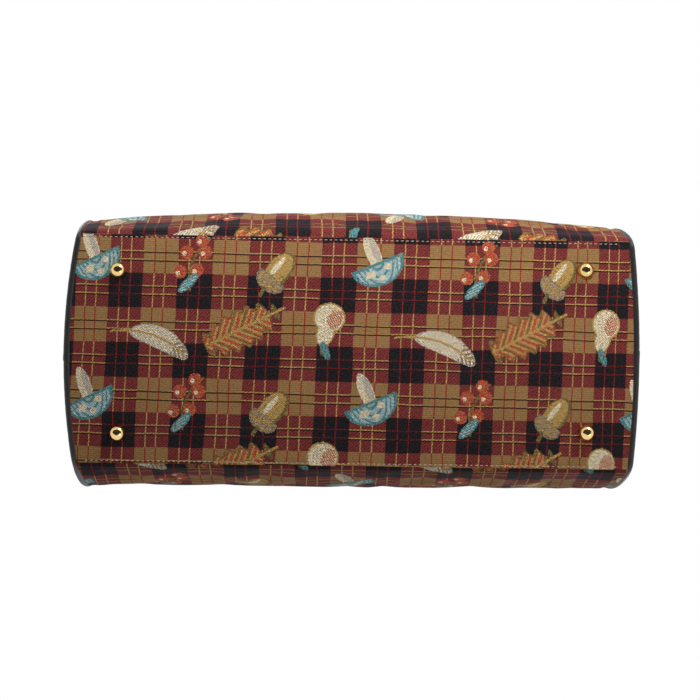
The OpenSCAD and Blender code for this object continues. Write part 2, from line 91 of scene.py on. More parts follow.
def end_bow(way):
    """How far the middle of an end stands beyond its corners, at the base."""
    return END_BOW - (SQUARE if way > 0 else 0)


def slump(s, t):
    """How far the cloth hangs out at the back, toward the left end."""
    return SLUMP * math.sin(math.pi * min(t / SLUMP_SHARE, 1)) * max(0, -s) ** 4


def side_swell(s, t):
    """Share of a long side's fullness at s along it, from -1 to 1, and t up it."""
    return math.sin(math.pi * t**0.6) * (1 - abs(s) ** 2.4)


belly, mouth = outline(LOWER_SHARE), outline(1)
print("Half width at the belly:", round(belly.x, 1), "mm; at the zip:", round(mouth.x, 1), "mm")

# %% [markdown]
# ## Helpers for the hand work
# Operators act on whatever is selected, so a piece is always selected alone first. Most soft pieces start
# as a primitive grid: its columns and rows are carried onto the surface that they should lie on, and its UV
# map is written in metres, so that one weave runs at one scale over every panel.

# %% Select and edit
def alone(obj):
    """Selects one piece and nothing else."""
    if bpy.context.object and bpy.context.object.mode != "OBJECT":
        bpy.ops.object.mode_set(mode="OBJECT")
    bpy.ops.object.select_all(action="DESELECT")
    obj.select_set(True)
    bpy.context.view_layer.objects.active = obj
    return obj


def edit_all(obj, *steps):
    """Runs edit-mode operators on all of a piece."""
    alone(obj)
    bpy.ops.object.mode_set(mode="EDIT")
    bpy.ops.mesh.select_all(action="SELECT")
    for step in steps:
        step()
    bpy.ops.object.mode_set(mode="OBJECT")


def apply_modifiers(obj):
    """Applies a piece's modifiers in their order."""
    alone(obj)
    for name in [m.name for m in obj.modifiers]:
        bpy.ops.object.modifier_apply(modifier=name)


# %% Carry a grid onto a surface
def laid_grid(name, columns, rows, place, flat, outward=None, closed=False):
    """A primitive grid carried by place(a, b) in millimetres, with flat(a, b) as its UV map in metres."""
    bpy.ops.object.select_all(action="DESELECT")
    bpy.ops.mesh.primitive_grid_add(x_subdivisions=columns, y_subdivisions=rows, size=2)
    obj = bpy.context.object
    obj.name = obj.data.name = name
    where = [((v.co.x + 1) / 2, (v.co.y + 1) / 2) for v in obj.data.vertices]
    layer = obj.data.uv_layers.active
    layer.name = "UVMap"
    for loop in obj.data.loops:
        layer.data[loop.index].uv = flat(*where[loop.vertex_index])
    for v, (a, b) in zip(obj.data.vertices, where):
        v.co = Vector(place(a, b)) / 1000
    if closed:
        edit_all(obj, lambda: bpy.ops.mesh.remove_doubles(threshold=1e-6),
                 lambda: bpy.ops.mesh.normals_make_consistent(inside=False))
    elif outward is not None:
        lean = sum(p.normal.dot(outward) * p.area for p in obj.data.polygons)
        if lean < 0:
            edit_all(obj, bpy.ops.mesh.flip_normals)
    return obj


# %% Give a piece its finish and its body
SMOOTH_UNDER = math.radians(50)


def finish_piece(obj, material, body, slot, *nodes):
    """Gives a piece its material and its body, and hides the CAD nodes that it stands for; slot is not used.
    """
    alone(obj)
    bpy.ops.object.shade_smooth_by_angle(angle=SMOOTH_UNDER)
    obj.data.materials.clear()
    obj.data.materials.append(material)
    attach(obj, body)
    if nodes:
        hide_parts(*nodes)
    print(obj.name, len(obj.data.polygons), "faces")


# %% Soft noise, and lengths along a line
SEED_STEP = (7.3, 3.1, 1.7)


def wobble(point, size, seed):
    """Soft noise from -1 to 1 that varies over a size in millimetres."""
    return noise.noise(Vector(point) / size + Vector([seed * step for step in SEED_STEP]))


def run_lengths(points):
    """Distance from the first point to each point along a line."""
    sums = [0.0]
    for p, q in zip(points, points[1:]):
        sums.append(sums[-1] + (q - p).length)
    return sums


# %% [markdown]
# ## Writing shader maths as plain sums
# A weave is mostly arithmetic on the UV map. A small class wraps a socket, so that `a * 2 + b` adds the
# Math nodes by itself, and one method makes any other node from its settings and its sockets.

# %% Values that can be summed
class Value:
    """A socket that can be used in sums."""

    def __init__(self, kit, socket):
        self.kit, self.socket = kit, socket

    def sum(self, operation, *others):
        """A Math node on this value and others."""
        node = self.kit.node("ShaderNodeMath", {"operation": operation}, dict(enumerate((self, *others))))
        return Value(self.kit, node.outputs[0])

    def turned_sum(self, operation, other):
        """The same with this value second, as in 1 - a."""
        node = self.kit.node("ShaderNodeMath", {"operation": operation}, {0: other, 1: self})
        return Value(self.kit, node.outputs[0])

    def __add__(self, other):
        return self.sum("ADD", other)

    def __sub__(self, other):
        return self.sum("SUBTRACT", other)

    def __mul__(self, other):
        return self.sum("MULTIPLY", other)

    def __truediv__(self, other):
        return self.sum("DIVIDE", other)

    def __lt__(self, other):
        return self.sum("LESS_THAN", other)

    def __gt__(self, other):
        return self.sum("GREATER_THAN", other)

    def __rsub__(self, other):
        return self.turned_sum("SUBTRACT", other)

    def __abs__(self):
        return self.sum("ABSOLUTE")

    __radd__, __rmul__ = __add__, __mul__

    def fract(self):
        return self.sum("FRACT")

    def floor(self):
        return self.sum("FLOOR")

    def root(self):
        return self.sum("SQRT")

    def wave(self):
        return self.sum("SINE")

    def most(self, other):
        return self.sum("MAXIMUM", other)


# %% A finish and its nodes
class Finish:
    """One material and its nodes."""

    def __init__(self, name):
        self.material = bpy.data.materials.new(name)
        self.material.use_nodes = True
        self.nodes, self.links = self.material.node_tree.nodes, self.material.node_tree.links
        self.shader = self.nodes["Principled BSDF"]

    def node(self, kind, settings=None, sockets=None):
        """Any node, from its type, its settings and its sockets."""
        made = self.nodes.new(kind)
        for key, value in (settings or {}).items():
            setattr(made, key, value)
        for key, value in (sockets or {}).items():
            self.put(made.inputs[key], value)
        return made

    def put(self, socket, value):
        """Links a socket, or gives it a plain value."""
        if isinstance(value, Value):
            value = value.socket
        if isinstance(value, bpy.types.NodeSocket):
            self.links.new(value, socket)
        else:
            socket.default_value = value

    def set(self, **sockets):
        """Feeds the shader's sockets, named in small letters."""
        for key, value in sockets.items():
            self.put(self.shader.inputs[key.replace("_", " ").title().replace("Ior", "IOR")], value)

    def uv(self):
        """The UV map in millimetres, as two values."""
        flat = self.node("ShaderNodeUVMap", {"uv_map": "UVMap"})
        split = self.node("ShaderNodeSeparateXYZ", {}, {0: flat.outputs[0]})
        return Value(self, split.outputs[0]) * 1000, Value(self, split.outputs[1]) * 1000

    def place(self):
        """Object coordinates, in metres."""
        return self.node("ShaderNodeTexCoord").outputs["Object"]

    def join(self, x, y, z=0.0):
        return self.node("ShaderNodeCombineXYZ", {}, {0: x, 1: y, 2: z}).outputs[0]

    def noise(self, vector, scale, detail=2.0, rough=0.5):
        sockets = {"Vector": vector, "Scale": scale, "Detail": detail, "Roughness": rough}
        made = self.node("ShaderNodeTexNoise", {}, sockets)
        return Value(self, made.outputs[0])

    def cells(self, vector, scale):
        """Distance to the nearest of many scattered points, for a pebble grain."""
        made = self.node("ShaderNodeTexVoronoi", {}, {"Vector": vector, "Scale": scale})
        return Value(self, made.outputs["Distance"])

    def mix(self, share, a, b, blend="MIX"):
        made = self.node("ShaderNodeMix", {"data_type": "RGBA", "blend_type": blend}, {0: share, 6: a, 7: b})
        return made.outputs[2]

    def bump(self, height, distance, strength):
        made = self.node("ShaderNodeBump", {}, {"Strength": strength, "Distance": distance, "Height": height})
        self.put(self.shader.inputs["Normal"], made.outputs[0])


def rgb(*levels):
    """A colour as a paint program writes it, made linear."""
    return (*((v / 255 / 12.92 if v < 10.3 else ((v / 255 + 0.055) / 1.055) ** 2.4) for v in levels), 1.0)


# %% [markdown]
# ## Tapestry: a woven check
# The cloth is a jacquard: tan, wine and black blocks about 33 mm wide, each crossed by two thin lines each
# way, with a twill rib. An image would be simpler, but it would blur close up; sums stay sharp and can be
# changed.

# %% Tapestry ground: blocks and lines
tapestry = Finish("tapestry")
CHECK_U, CHECK_V, THREAD = 65.6, 64.0, 0.9
DRIFT_U, DRIFT_V = 3, 2
TAN, WINE, BLACK = rgb(140, 107, 68), rgb(110, 48, 46), rgb(33, 30, 32)
RED, STRAW, DARK = rgb(138, 32, 36), rgb(166, 133, 80), rgb(34, 22, 22)
u, v = tapestry.uv()
flat_uv = tapestry.join(u, v)
drift = tapestry.noise(flat_uv, 0.02, 1.0)
stray_u = tapestry.noise(tapestry.join(u * 0.02, (v / THREAD).floor()), 1.0, 0.0) - 0.5
stray_v = tapestry.noise(tapestry.join((u / THREAD).floor(), v * 0.02), 1.0, 0.0) - 0.5
woven_u = u + stray_u * THREAD + (drift - 0.5) * DRIFT_U
woven_v = v + stray_v * THREAD + (drift - 0.5) * DRIFT_V
share_u, share_v = (woven_u / CHECK_U + 0.25).fract(), (woven_v / CHECK_V + 0.25).fract()
dark_column, dark_row = share_u < 0.5, share_v < 0.5
in_u, in_v = (share_u * 2).fract(), (share_v * 2).fract()
black_block = dark_column * dark_row
wine_block = dark_column + dark_row - black_block * 2
tan_block = 1 - black_block - wine_block


def line(at, places, half):
    """One where a coordinate is near either of two places."""
    first, second = [abs(at - p) < half for p in places]
    return first + second


upright = line(in_u, (0.32, 0.63), 0.017)
level = line(in_v, (0.37, 0.61), 0.016)
under = line(in_v, (0.406, 0.646), 0.019)
dash = ((u / 2.4).fract() < 0.62) * level
cloth = tapestry.mix(wine_block, tapestry.mix(black_block, TAN, BLACK), WINE)
cloth = tapestry.mix(under * (1 - black_block) * 0.95, cloth, DARK)
cloth = tapestry.mix(level * wine_block + level * tan_block * 0.35, cloth, STRAW)
cloth = tapestry.mix(dash * black_block * 0.6, cloth, RED)
cloth = tapestry.mix(upright * wine_block * (1 - under * 0.6), cloth, STRAW)
cloth = tapestry.mix(upright * (1 - wine_block) * (1 - under * 0.6) * (0.92 - black_block * 0.3), cloth, RED)
print("Check:", CHECK_U, "by", CHECK_V, "mm;", len(tapestry.nodes), "nodes so far")

# %% [markdown]
# ## Tapestry: woven figures
# Such cloth carries small pictures woven over the check. These are plain countryside shapes of our own:
# toadstool, acorn, leaf, feather, pear and berries, each put together from ellipses and stripes. The
# coordinates are rounded to whole threads first, so the edges step as woven edges do. Each figure repeats
# on one wide lattice, at its own place and turn.

# %% Figures
REPEAT_U, REPEAT_V, FIGURE_STEP = 4 * CHECK_U, 2 * CHECK_V, 0.8
step_u, step_v = (u / FIGURE_STEP).floor() * FIGURE_STEP, (v / FIGURE_STEP).floor() * FIGURE_STEP
IVORY, PEARL, SHADE = rgb(214, 200, 168), rgb(176, 168, 156), rgb(120, 108, 98)
TEAL, SKY, RUST = rgb(52, 122, 128), rgb(146, 176, 182), rgb(168, 62, 42)
OLIVE, GOLD = rgb(92, 84, 44), rgb(170, 136, 74)


def figure_axes(at_u, at_v, turn):
    """Local axes of a figure that repeats on the lattice, in millimetres."""
    du = ((step_u - at_u) / REPEAT_U + 0.5).fract() * REPEAT_U - REPEAT_U / 2
    dv = ((step_v - at_v) / REPEAT_V + 0.5).fract() * REPEAT_V - REPEAT_V / 2
    c, s = math.cos(math.radians(turn)), math.sin(math.radians(turn))
    return du * c + dv * s, dv * c - du * s


def oval(x, y, cx, cy, a, b):
    """Distance from a middle in ellipse radii: under one is inside."""
    p, q = (x - cx) / a, (y - cy) / b
    return (p * p + q * q).root()


def stripes(x, pitch, share):
    """One on a share of each pitch."""
    return (x / pitch).fract() < share


def lay(inside, colour):
    """Weaves a colour over the cloth where inside is one."""
    global cloth, raised
    cloth = tapestry.mix(inside, cloth, colour)
    raised = raised.most(inside)


raised = wine_block * 0

# %% Toadstool and acorn
x, y = figure_axes(34, 34, -24)
cap = oval(x, y, 0, 0, 25, 21)
above = y > -1
lay((oval(x, y, 0, -11, 6.5, 18) < 1) * (y < 2), IVORY)
lay((oval(x, y, 2.6, -12, 3, 15) < 1) * (y < 1), PEARL)
lay((cap < 1) * above, TEAL)
lay((cap < 0.9) * (y > 1.6) * stripes(oval(x, y, 0, -16, 1, 2.2), 3.4, 0.66), SKY)
for cx, cy, a, b in ((-9, 8, 4.4, 3.6), (8, 6, 3.4, 2.8), (0, 14, 3.4, 2.6)):
    lay(oval(x, y, cx, cy, a, b) < 1, IVORY)
x, y = figure_axes(-58, 47, 38)
lay(oval(x, y, 0, -6, 11.5, 19) < 1, OLIVE)
lay(oval(x, y, -1, -6, 9.8, 17) < 1, GOLD)
lay(oval(x, y, -3.6, -8, 2.6, 11) < 1, IVORY)
lay((oval(x, y, 0, 7, 14.5, 9.5) < 1) * (y > 2), SHADE)
lay((oval(x, y, 0, 7, 13, 8) < 1) * (y > 3) * stripes(x + y, 3.2, 0.55), GOLD)
lay((abs(x - (y - 15) * 0.2) < 1.7) * (y > 14) * (y < 24), OLIVE)
print("Toadstool and acorn laid:", len(tapestry.nodes), "nodes")

# %% Leaf and feather
x, y = figure_axes(-88, -30, 62)
edge = oval(x, y, 0, 0, 17, 36) + (y * 0.55).wave() * 0.13
lay(edge < 1, OLIVE)
lay(edge < 0.9, RUST)
lay((edge < 0.86) * stripes(y + abs(x) * 0.9, 6.4, 0.42), GOLD)
lay((edge < 0.86) * stripes(y + abs(x) * 0.9 + 2.4, 12.8, 0.16), OLIVE)
lay((abs(x) < 1.2) * (y < 30) * (y > -46), GOLD)
x, y = figure_axes(98, -22, -70)
bow = x + y * y * 0.006
vane = oval(bow, y, 0, 4, 10, 31)
lay(vane < 1, PEARL)
lay((vane < 0.92) * stripes(y - abs(bow) * 1.2, 3.6, 0.6), IVORY)
lay((vane < 0.98) * (y > 18) * stripes(y - abs(bow), 5.2, 0.5), SHADE)
lay((abs(bow) < 1) * (y > -44) * (y < 30), GOLD)
print("Leaf and feather laid:", len(tapestry.nodes), "nodes")

# %% Pear and berries
x, y = figure_axes(-8, -38, 14)
lay((oval(x, y, 0, -5, 14.5, 14) < 1).most(oval(x, y, 0.5, 9, 8.4, 13) < 1), GOLD)
lay((oval(x, y, 0, -5, 13, 12.5) < 1).most(oval(x, y, 0.5, 9, 7, 11.6) < 1), IVORY)
lay((oval(x, y, 5.4, -5, 6.4, 9.5) < 1) * stripes(x - y, 2.6, 0.6), RUST)
lay((abs(x - (y - 20) * 0.3) < 1.2) * (y > 19) * (y < 30), OLIVE)
lay(oval(x * 0.8 - y * 0.6, y * 0.8 + x * 0.6, -11, 23, 3.4, 9) < 1, TEAL)
x, y = figure_axes(128, 36, 20)
lay((abs(x - y * y * 0.012) < 1.1) * (abs(y) < 26), OLIVE)
for cx, cy in ((-8, -6), (8, -12), (7, 6), (-7, 13), (1, -21)):
    lay(oval(x, y, cx, cy, 6.2, 6.2) < 1, RUST)
    lay(oval(x, y, cx - 1.8, cy + 1.8, 2, 2) < 1, IVORY)
lay(oval(x + y * 0.4, y, 12, 20, 5, 11) < 1, TEAL)
lay((oval(x + y * 0.4, y, 12, 20, 3.6, 9.4) < 1) * stripes(y + x, 3.2, 0.5), SKY)
print("Pear and berries laid:", len(tapestry.nodes), "nodes")

# %% [markdown]
# ## Tapestry: rib and shine
# The threads give a diagonal rib over the wine blocks and a level rib elsewhere. A bump alone would vanish
# under soft light, so the rib shows twice: as painted shade that darkens and lightens the colour from thread
# to thread, and as a bump of a few tenths of a millimetre.

# %% Weave relief
TWILL_PITCH, SLANT_PITCH, WEFT_PITCH, WARP_PITCH = 3.2, 2.1, 1.9, 1.3
twill = ((u + v) * (math.tau / TWILL_PITCH)).wave()
slant = ((u * 0.8 - v) * (math.tau / SLANT_PITCH)).wave()
weft = (v * (math.tau / WEFT_PITCH)).wave()
warp = (u * (math.tau / WARP_PITCH)).wave()
flecks = tapestry.noise(flat_uv, 0.65, 1.0)
patches = tapestry.noise(flat_uv, 0.03, 2.0)
ground_rib = twill * wine_block * 1.05 + weft * (1 - wine_block) * 0.5
rib = ground_rib * (1 - raised) + slant * raised * 1.3 + warp * (0.2 + tan_block * 0.3)
odd = tapestry.noise(tapestry.join(u * 0.35, v * 1.1), 0.9, 0.0)
cloth = tapestry.mix(raised * (odd > 0.6) * 0.5, cloth, SHADE)
cloth = tapestry.mix(raised * (odd < 0.4) * 0.45, cloth, GOLD)
speckle = (flecks - 0.5) * (1.0 + wine_block * 0.8 + black_block * 1.6 + raised * 0.6)
# Painted shade: the rib term darkens and lightens the colour from thread to thread, as light would on the
# relief; the flecks and patches are the yarn's own uneven colour.
rib_shade_and_flecks = 0.98 + rib * 0.24 + speckle + (patches - 0.5) * 0.25
grey = tapestry.join(rib_shade_and_flecks, rib_shade_and_flecks, rib_shade_and_flecks)
tapestry.set(base_color=tapestry.mix(1.0, cloth, grey, "MULTIPLY"), roughness=0.86 - flecks * 0.14)
tapestry.shader.inputs["Specular IOR Level"].default_value = 0.04
tapestry.shader.inputs["Sheen Weight"].default_value = 0.015
tapestry.shader.inputs["Sheen Roughness"].default_value = 0.5
tapestry.bump(rib * 0.5 + flecks * 0.6 + raised * 1.4, 0.00018, 0.8)
print("Tapestry:", len(tapestry.nodes), "nodes")

# %% [markdown]
# ## Leatherette, brass, thread and the plain finishes
# Leatherette is a black coated cloth with a pebble grain. Brass is a pale polished gold with hairline
# scratches. The rest are hidden or small, and still get their own grain. The weaves follow the UV map; all
# the others read Object coordinates, because pieces that keep their CAD mesh have no UV map to follow.

# %% Leatherette and thread
leatherette = Finish("leatherette")
spot = leatherette.place()
pebble = leatherette.cells(spot, 1100.0) + leatherette.cells(spot, 620.0) * 0.6
crease = leatherette.noise(spot, 160.0, 3.0)
worn = leatherette.noise(spot, 30.0, 2.0)
leatherette.set(base_color=leatherette.mix(crease * 0.5 + worn * 0.4, rgb(15, 14, 14), rgb(38, 36, 34)),
                roughness=0.36 + pebble * 0.12 + worn * 0.12)
leatherette.shader.inputs["Specular IOR Level"].default_value = 0.5
leatherette.bump(pebble * 0.5 + crease * 0.9, 0.00022, 0.7)

thread = Finish("thread")
spot = thread.place()
twist = thread.noise(spot, 2600.0, 1.0)
thread.set(base_color=thread.mix(twist, rgb(152, 138, 114), rgb(206, 194, 170)), roughness=0.7 + twist * 0.2)
thread.bump(twist, 0.0001, 0.6)
print("Leatherette and thread made")

# %% Metals
def metal(name, low, high, rough):
    """A polished metal with faint clouds and hairlines."""
    made = Finish(name)
    spot = made.place()
    cloud, scratch = made.noise(spot, 90.0, 3.0), made.noise(spot, 1400.0, 2.0)
    made.set(base_color=made.mix(cloud, low, high), roughness=rough + cloud * 0.1 + scratch * 0.06)
    made.shader.inputs["Metallic"].default_value = 1.0
    made.bump(scratch, 0.00003, 0.35)
    return made.material


brass = metal("polished_brass", rgb(226, 190, 120), rgb(246, 218, 156), 0.06)
steel = metal("washer_steel", rgb(170, 172, 174), rgb(205, 206, 208), 0.22)
print("Metals made")


# %% Cloths and board that stay out of sight
def plain_weave(name, low, high, pitch, rough):
    """A cloth of one colour, woven over and under at a pitch in millimetres."""
    made = Finish(name)
    a, b = made.uv()
    rib = (a * (math.tau / pitch)).wave() * (b * (math.tau / pitch)).wave()
    fleck = made.noise(made.join(a, b), 0.8, 2.0)
    # Painted shade: the rib's share darkens and lightens the colour over and under the threads; the flecks
    # are the yarn's own uneven colour.
    made.set(base_color=made.mix(fleck * 0.7 + rib * 0.15 + 0.1, low, high), roughness=rough + fleck * 0.1)
    made.bump(rib + fleck, 0.00012, 0.6)
    return made.material


tape_weave = plain_weave("tape_weave", rgb(18, 18, 19), rgb(44, 43, 44), 1.1, 0.75)
lining_weave = plain_weave("lining_weave", rgb(50, 44, 40), rgb(82, 74, 66), 0.7, 0.7)
board = Finish("grey_board")
fibre = board.noise(board.place(), 420.0, 4.0, 0.7)
board.set(base_color=board.mix(fibre, rgb(96, 88, 78), rgb(150, 140, 124)), roughness=0.85 + fibre * 0.1)
board.bump(fibre, 0.0002, 0.5)
print("Plain weaves and board made")

# %% [markdown]
# ## Letting cloth settle
# A cut panel is a little larger than the form it is sewn to, so it makes soft hollows and swellings between
# its seams. Blender's Cloth does this: the border is pinned, the cloth is let grow by a small share, and a
# light air pressure from inside keeps it on the outer side. Each point may move only a few millimetres, so
# the size of the bag stays.

# %% Cloth settling
SETTLE_FRAMES = 14
CLOTH_T, LINING_T, TAPE_T = 0.0018, 0.0006, 0.0005


def sewn_border(columns, rows, across, along):
    """Weight of one on the outer columns and rows of a grid, which are sewn down."""
    def weight(index):
        i, j = index % (columns + 1), index // (columns + 1)
        return 1.0 if min(i, columns - i) < across or min(j, rows - j) < along else 0.0

    return weight


def settle(obj, pinned, slack, push, cap):
    """Runs Cloth on an open sheet and keeps the result in the mesh."""
    alone(obj)
    before = [p.co.copy() for p in obj.data.vertices]
    group = obj.vertex_groups.new(name="sewn")
    for p in obj.data.vertices:
        group.add([p.index], pinned(p.index), "REPLACE")
    cloth_mod = obj.modifiers.new("Cloth", "CLOTH")
    rules = cloth_mod.settings
    rules.quality, rules.mass, rules.air_damping = 4, 0.3, 5
    rules.tension_stiffness = rules.compression_stiffness = 18
    rules.shear_stiffness, rules.bending_stiffness = 6, 2.5
    rules.vertex_group_mass = "sewn"
    rules.shrink_min = -slack
    rules.use_pressure, rules.uniform_pressure_force = True, push
    rules.effector_weights.gravity = 0
    cloth_mod.collision_settings.use_self_collision = False
    cloth_mod.point_cache.frame_start, cloth_mod.point_cache.frame_end = 1, SETTLE_FRAMES
    for f in range(1, SETTLE_FRAMES + 1):
        bpy.context.scene.frame_set(f)
    apply_modifiers(obj)
    bpy.context.scene.frame_set(1)
    furthest = 0.0
    for p, rest in zip(obj.data.vertices, before):
        move = p.co - rest
        furthest = max(furthest, move.length)
        if move.length > cap:
            p.co = rest + move * (cap / move.length)
    obj.vertex_groups.clear()
    print(obj.name, "settled; furthest move", round(furthest * 1000, 2), "mm")


# %% Thickness and cut size of a cloth
def sheet_wall(obj, thickness):
    """Gives an open sheet its thickness, inward."""
    wall = obj.modifiers.new("wall", "SOLIDIFY")
    wall.thickness, wall.offset = thickness, -1
    wall.use_quality_normals = True
    apply_modifiers(obj)


def sheet_facts(obj, width, length, **facts):
    """Prints a cloth's cut size in metres, and returns it with other facts and the area that the cloth has
    before it gets a thickness.
    """
    area = sum(p.area for p in obj.data.polygons)
    print(obj.name, "cut", round(width, 3), "by", round(length, 3), "m, area", round(area, 4))
    return dict(flat=(width, length), area=min(area, width * length), **facts)


# %% [markdown]
# ## The base cloth
# The base is the face that the photograph shows. It lies flat on a stiff board, with both long edges turned
# in and topstitched 2.8 mm from the fold, so the cloth rolls up a little outside the thread and is pulled
# in under it. Simulated cloth would lift off the board, so the height is written instead, as a sum of small
# rolls and dents over a grid whose rows are crowded toward the seams. The weave was pulled a little in the
# cutting, so its columns lean and stand closer together near the ends.

# %% Places of the feet, which press into the base
ROWS, HANDS = {"front": -1, "back": 1}, {"left": -1, "right": 1}
FOOT_X, FOOT_Y, FOOT_TURN = 215.0, 74.7, math.radians(-0.8)
feet = {}
for row, way_y in ROWS.items():
    for hand, way_x in HANDS.items():
        a, b = way_x * FOOT_X, way_y * FOOT_Y
        feet[f"{row}_{hand}_foot"] = (a * math.cos(FOOT_TURN) - b * math.sin(FOOT_TURN),
                                      a * math.sin(FOOT_TURN) + b * math.cos(FOOT_TURN) + MID_Y)
print("Feet at", [(round(fx, 1), round(fy, 1)) for fx, fy in feet.values()])

# %% Base cloth
STITCH_IN, STITCH_STEP, FOLD_Y, BASE_TUCK = 2.8, 4.7, 105.6, 2.0
ROLL_DEEP, TURN_IN, TURN_W = 0.45, 1.3, 0.7
DENT_DEEP, DENT_W, PUCKER_DEEP, PUCKER_W = 0.4, 1.1, 0.22, 3.5
TREAD_DEEP, TREAD_SPREAD = 0.35, 160
PULL, PULL_2, PULL_3 = 0.9815, 3.8e-5, 7.7e-7
COLUMN_LEAN, ROW_LEAN = 0.035, 0.0092
CHECK_AT_X, CHECK_AT_Y = 15.8, -12.0


def base_end(y, way=-1):
    """Half length of the base cloth at y from the middle line, tucked under the piping."""
    return seam_x(0, way) + end_bow(way) * (1 - (y / BASE_HALF) ** 2) - BASE_TUCK


def base_height(x, y):
    """Outer face of the base cloth, y from the middle line."""
    d = FOLD_Y - abs(y)
    roll = -ROLL_DEEP * math.sin(math.pi * min(d / STITCH_IN, 1)) + TURN_IN * math.exp(-((d / TURN_W) ** 2))
    dent = DENT_DEEP * math.exp(-(((d - STITCH_IN) / DENT_W) ** 2))
    beat = math.cos(2 * math.pi * x / STITCH_STEP)
    pucker = PUCKER_DEEP * beat * math.exp(-(((d - STITCH_IN) / PUCKER_W) ** 2))
    soft = 0.35 * wobble((x, y, 0), 55, 1) + 0.2 * wobble((x, y, 0), 22, 2) * math.exp(-d / 14)
    tread = 0
    for fx, fy in feet.values():
        tread += TREAD_DEEP * math.exp(-((x - fx) ** 2 + (y + MID_Y - fy) ** 2) / TREAD_SPREAD)
    return BASE_Z + roll + dent + pucker + soft + tread


def base_place(a, b):
    """Place of a grid point, with the rows crowded toward the seams."""
    v = 2 * b - 1
    y = FOLD_Y * (0.55 * v + 0.45 * math.sin(v * math.pi / 2))
    x = (2 * a - 1) * base_end(y, 1 if a > 0.5 else -1)
    return x, y + MID_Y, base_height(x, y)


def base_flat(a, b):
    """Where the weave was before it was pulled."""
    x, y, z = base_place(a, b)
    y -= MID_Y
    pulled = PULL * x + PULL_2 * x**2 + PULL_3 * x**3 + COLUMN_LEAN * y
    return (pulled + CHECK_AT_X) / 1000, (y - ROW_LEAN * x + CHECK_AT_Y) / 1000


base_cloth = laid_grid("base_cloth", 252, 84, base_place, base_flat, Vector((0, 0, -1)))
facts = sheet_facts(base_cloth, 2 * FOLD_Y / 1000, 2 * base_end(0) / 1000, held="stretched",
                    rests_on=["base_board"])
sheet_wall(base_cloth, CLOTH_T)
finish_piece(base_cloth, tapestry.material, "bag", "tapestry", "base_panel")

# %% [markdown]
# ## Front and back cloths
# Each long side is one lofted sheet, from the base seam over the belly to the zip. The front one is fuller,
# as the photograph's curved upper edge shows. The sheets follow the outline, settle as cloth, and are
# tucked under the piping and the zip's edge.

# %% Long sides
ARC_STEPS = 200
ARC = run_lengths([outline(i / ARC_STEPS) for i in range(ARC_STEPS + 1)])
SIDE_TUCK, SEAM_TURN, SEAM_TURN_W, SIDE_EASE = 1.4, 1.2, 1.2, 1.8
ZIP_TUCK, ZIP_TUCK_T = 1.6, 0.025


def arc_length(t):
    """Length along the side from the base seam to share t."""
    i = min(int(t * ARC_STEPS), ARC_STEPS - 1)
    return ARC[i] + (ARC[i + 1] - ARC[i]) * (t * ARC_STEPS - i)


def zip_tuck(t):
    """How far a side turns in at its upper edge, under the zip's edge."""
    return ZIP_TUCK * max(0, (t - (1 - ZIP_TUCK_T)) / ZIP_TUCK_T) ** 2


def long_side(name, node, way, crown, check_u, check_v, seed):
    """One long side, with its fullness at the middle and the start of its check."""
    def place(a, b):
        s, t = 2 * a - 1, b
        x, h = s * (seam_x(t, s) - SIDE_TUCK), arc_length(t)
        tuck = zip_tuck(t) + SEAM_TURN * math.exp(-((h / SEAM_TURN_W) ** 2))
        free = math.sin(math.pi * t) * (1 - s**8)
        fold = 0.9 * wobble((x * 0.6, h, 0), 70, seed) + 0.6 * wobble((x, h * 0.4, 0), 34, seed + 1)
        hang = slump(s, t) if way > 0 else 0
        p = outline(t, tuck - crown * side_swell(s, t) + free * (SIDE_EASE + fold) - hang)
        return x, way * p.x + MID_Y, p.y

    def flat(a, b):
        x, y, z = place(a, b)
        return (x - check_u) / 1000, (arc_length(b) - check_v) / 1000

    columns, rows = 150, 96
    made = laid_grid(name, columns, rows, place, flat, Vector((0, way, 0)))
    facts = sheet_facts(made, 2 * (seam_x(0) - SIDE_TUCK) / 1000, ARC[-1] / 1000 * 1.02, held="stretched",
                        rests_on=["left_piping", "right_piping"])
    settle(made, sewn_border(columns, rows, 3, 4), slack=0.004, push=0.2, cap=0.003)
    sheet_wall(made, CLOTH_T)
    finish_piece(made, tapestry.material, "bag", "tapestry", node)


long_side("front_cloth", "front_panel", -1, crown=12.0, check_u=9.1, check_v=16.0, seed=3)
long_side("back_cloth", "back_panel", 1, crown=2.0, check_u=-35.0, check_v=10.5, seed=4)

# %% [markdown]
# ## End cloths
# The two ends aren't in view, so they are finished plainly in the same cloth: a gently crowned sheet whose
# border runs under the piping all round.

# %% Ends
CORNER_T, END_SINK, END_FOOT = 0.06, 4.6, Vector((99.5, 13.4))
END_OUT, END_SWELL = 1.1, 8.0
END_CHECK_U, END_CHECK_V = 16.4, 44.0


def end_rim(t):
    """Edge of an end cloth, cut straight across the base corner."""
    if t >= CORNER_T:
        return outline(t, END_SINK)
    return END_FOOT.lerp(outline(CORNER_T, END_SINK), t / CORNER_T)


def end_cloth(name, node, way):
    """One end, at the left or right."""
    def place(a, b):
        v, t = 2 * a - 1, b
        p = end_rim(t)
        swell = end_bow(way) * (1 - t) ** 2 + END_SWELL * math.sin(math.pi * t)
        x = seam_x(t, way) + END_OUT + (1 - v * v) * swell
        return way * x, v * (p.x + (slump(way, t) if v > 0 else 0)) + MID_Y, p.y

    def flat(a, b):
        x, y, z = place(a, b)
        return (y - MID_Y + END_CHECK_U) / 1000, (z - END_CHECK_V) / 1000

    columns, rows = 72, 96
    made = laid_grid(name, columns, rows, place, flat, Vector((way, 0, 0)))
    facts = sheet_facts(made, 0.244, 0.302, held="stretched",
                        rests_on=["left_piping" if way < 0 else "right_piping"])
    settle(made, sewn_border(columns, rows, 3, 3), slack=0.005, push=0.5, cap=0.0025)
    sheet_wall(made, CLOTH_T)
    finish_piece(made, tapestry.material, "bag", "tapestry", node)


end_cloth("left_end_cloth", "left_end_panel", -1)
end_cloth("right_end_cloth", "right_end_panel", 1)

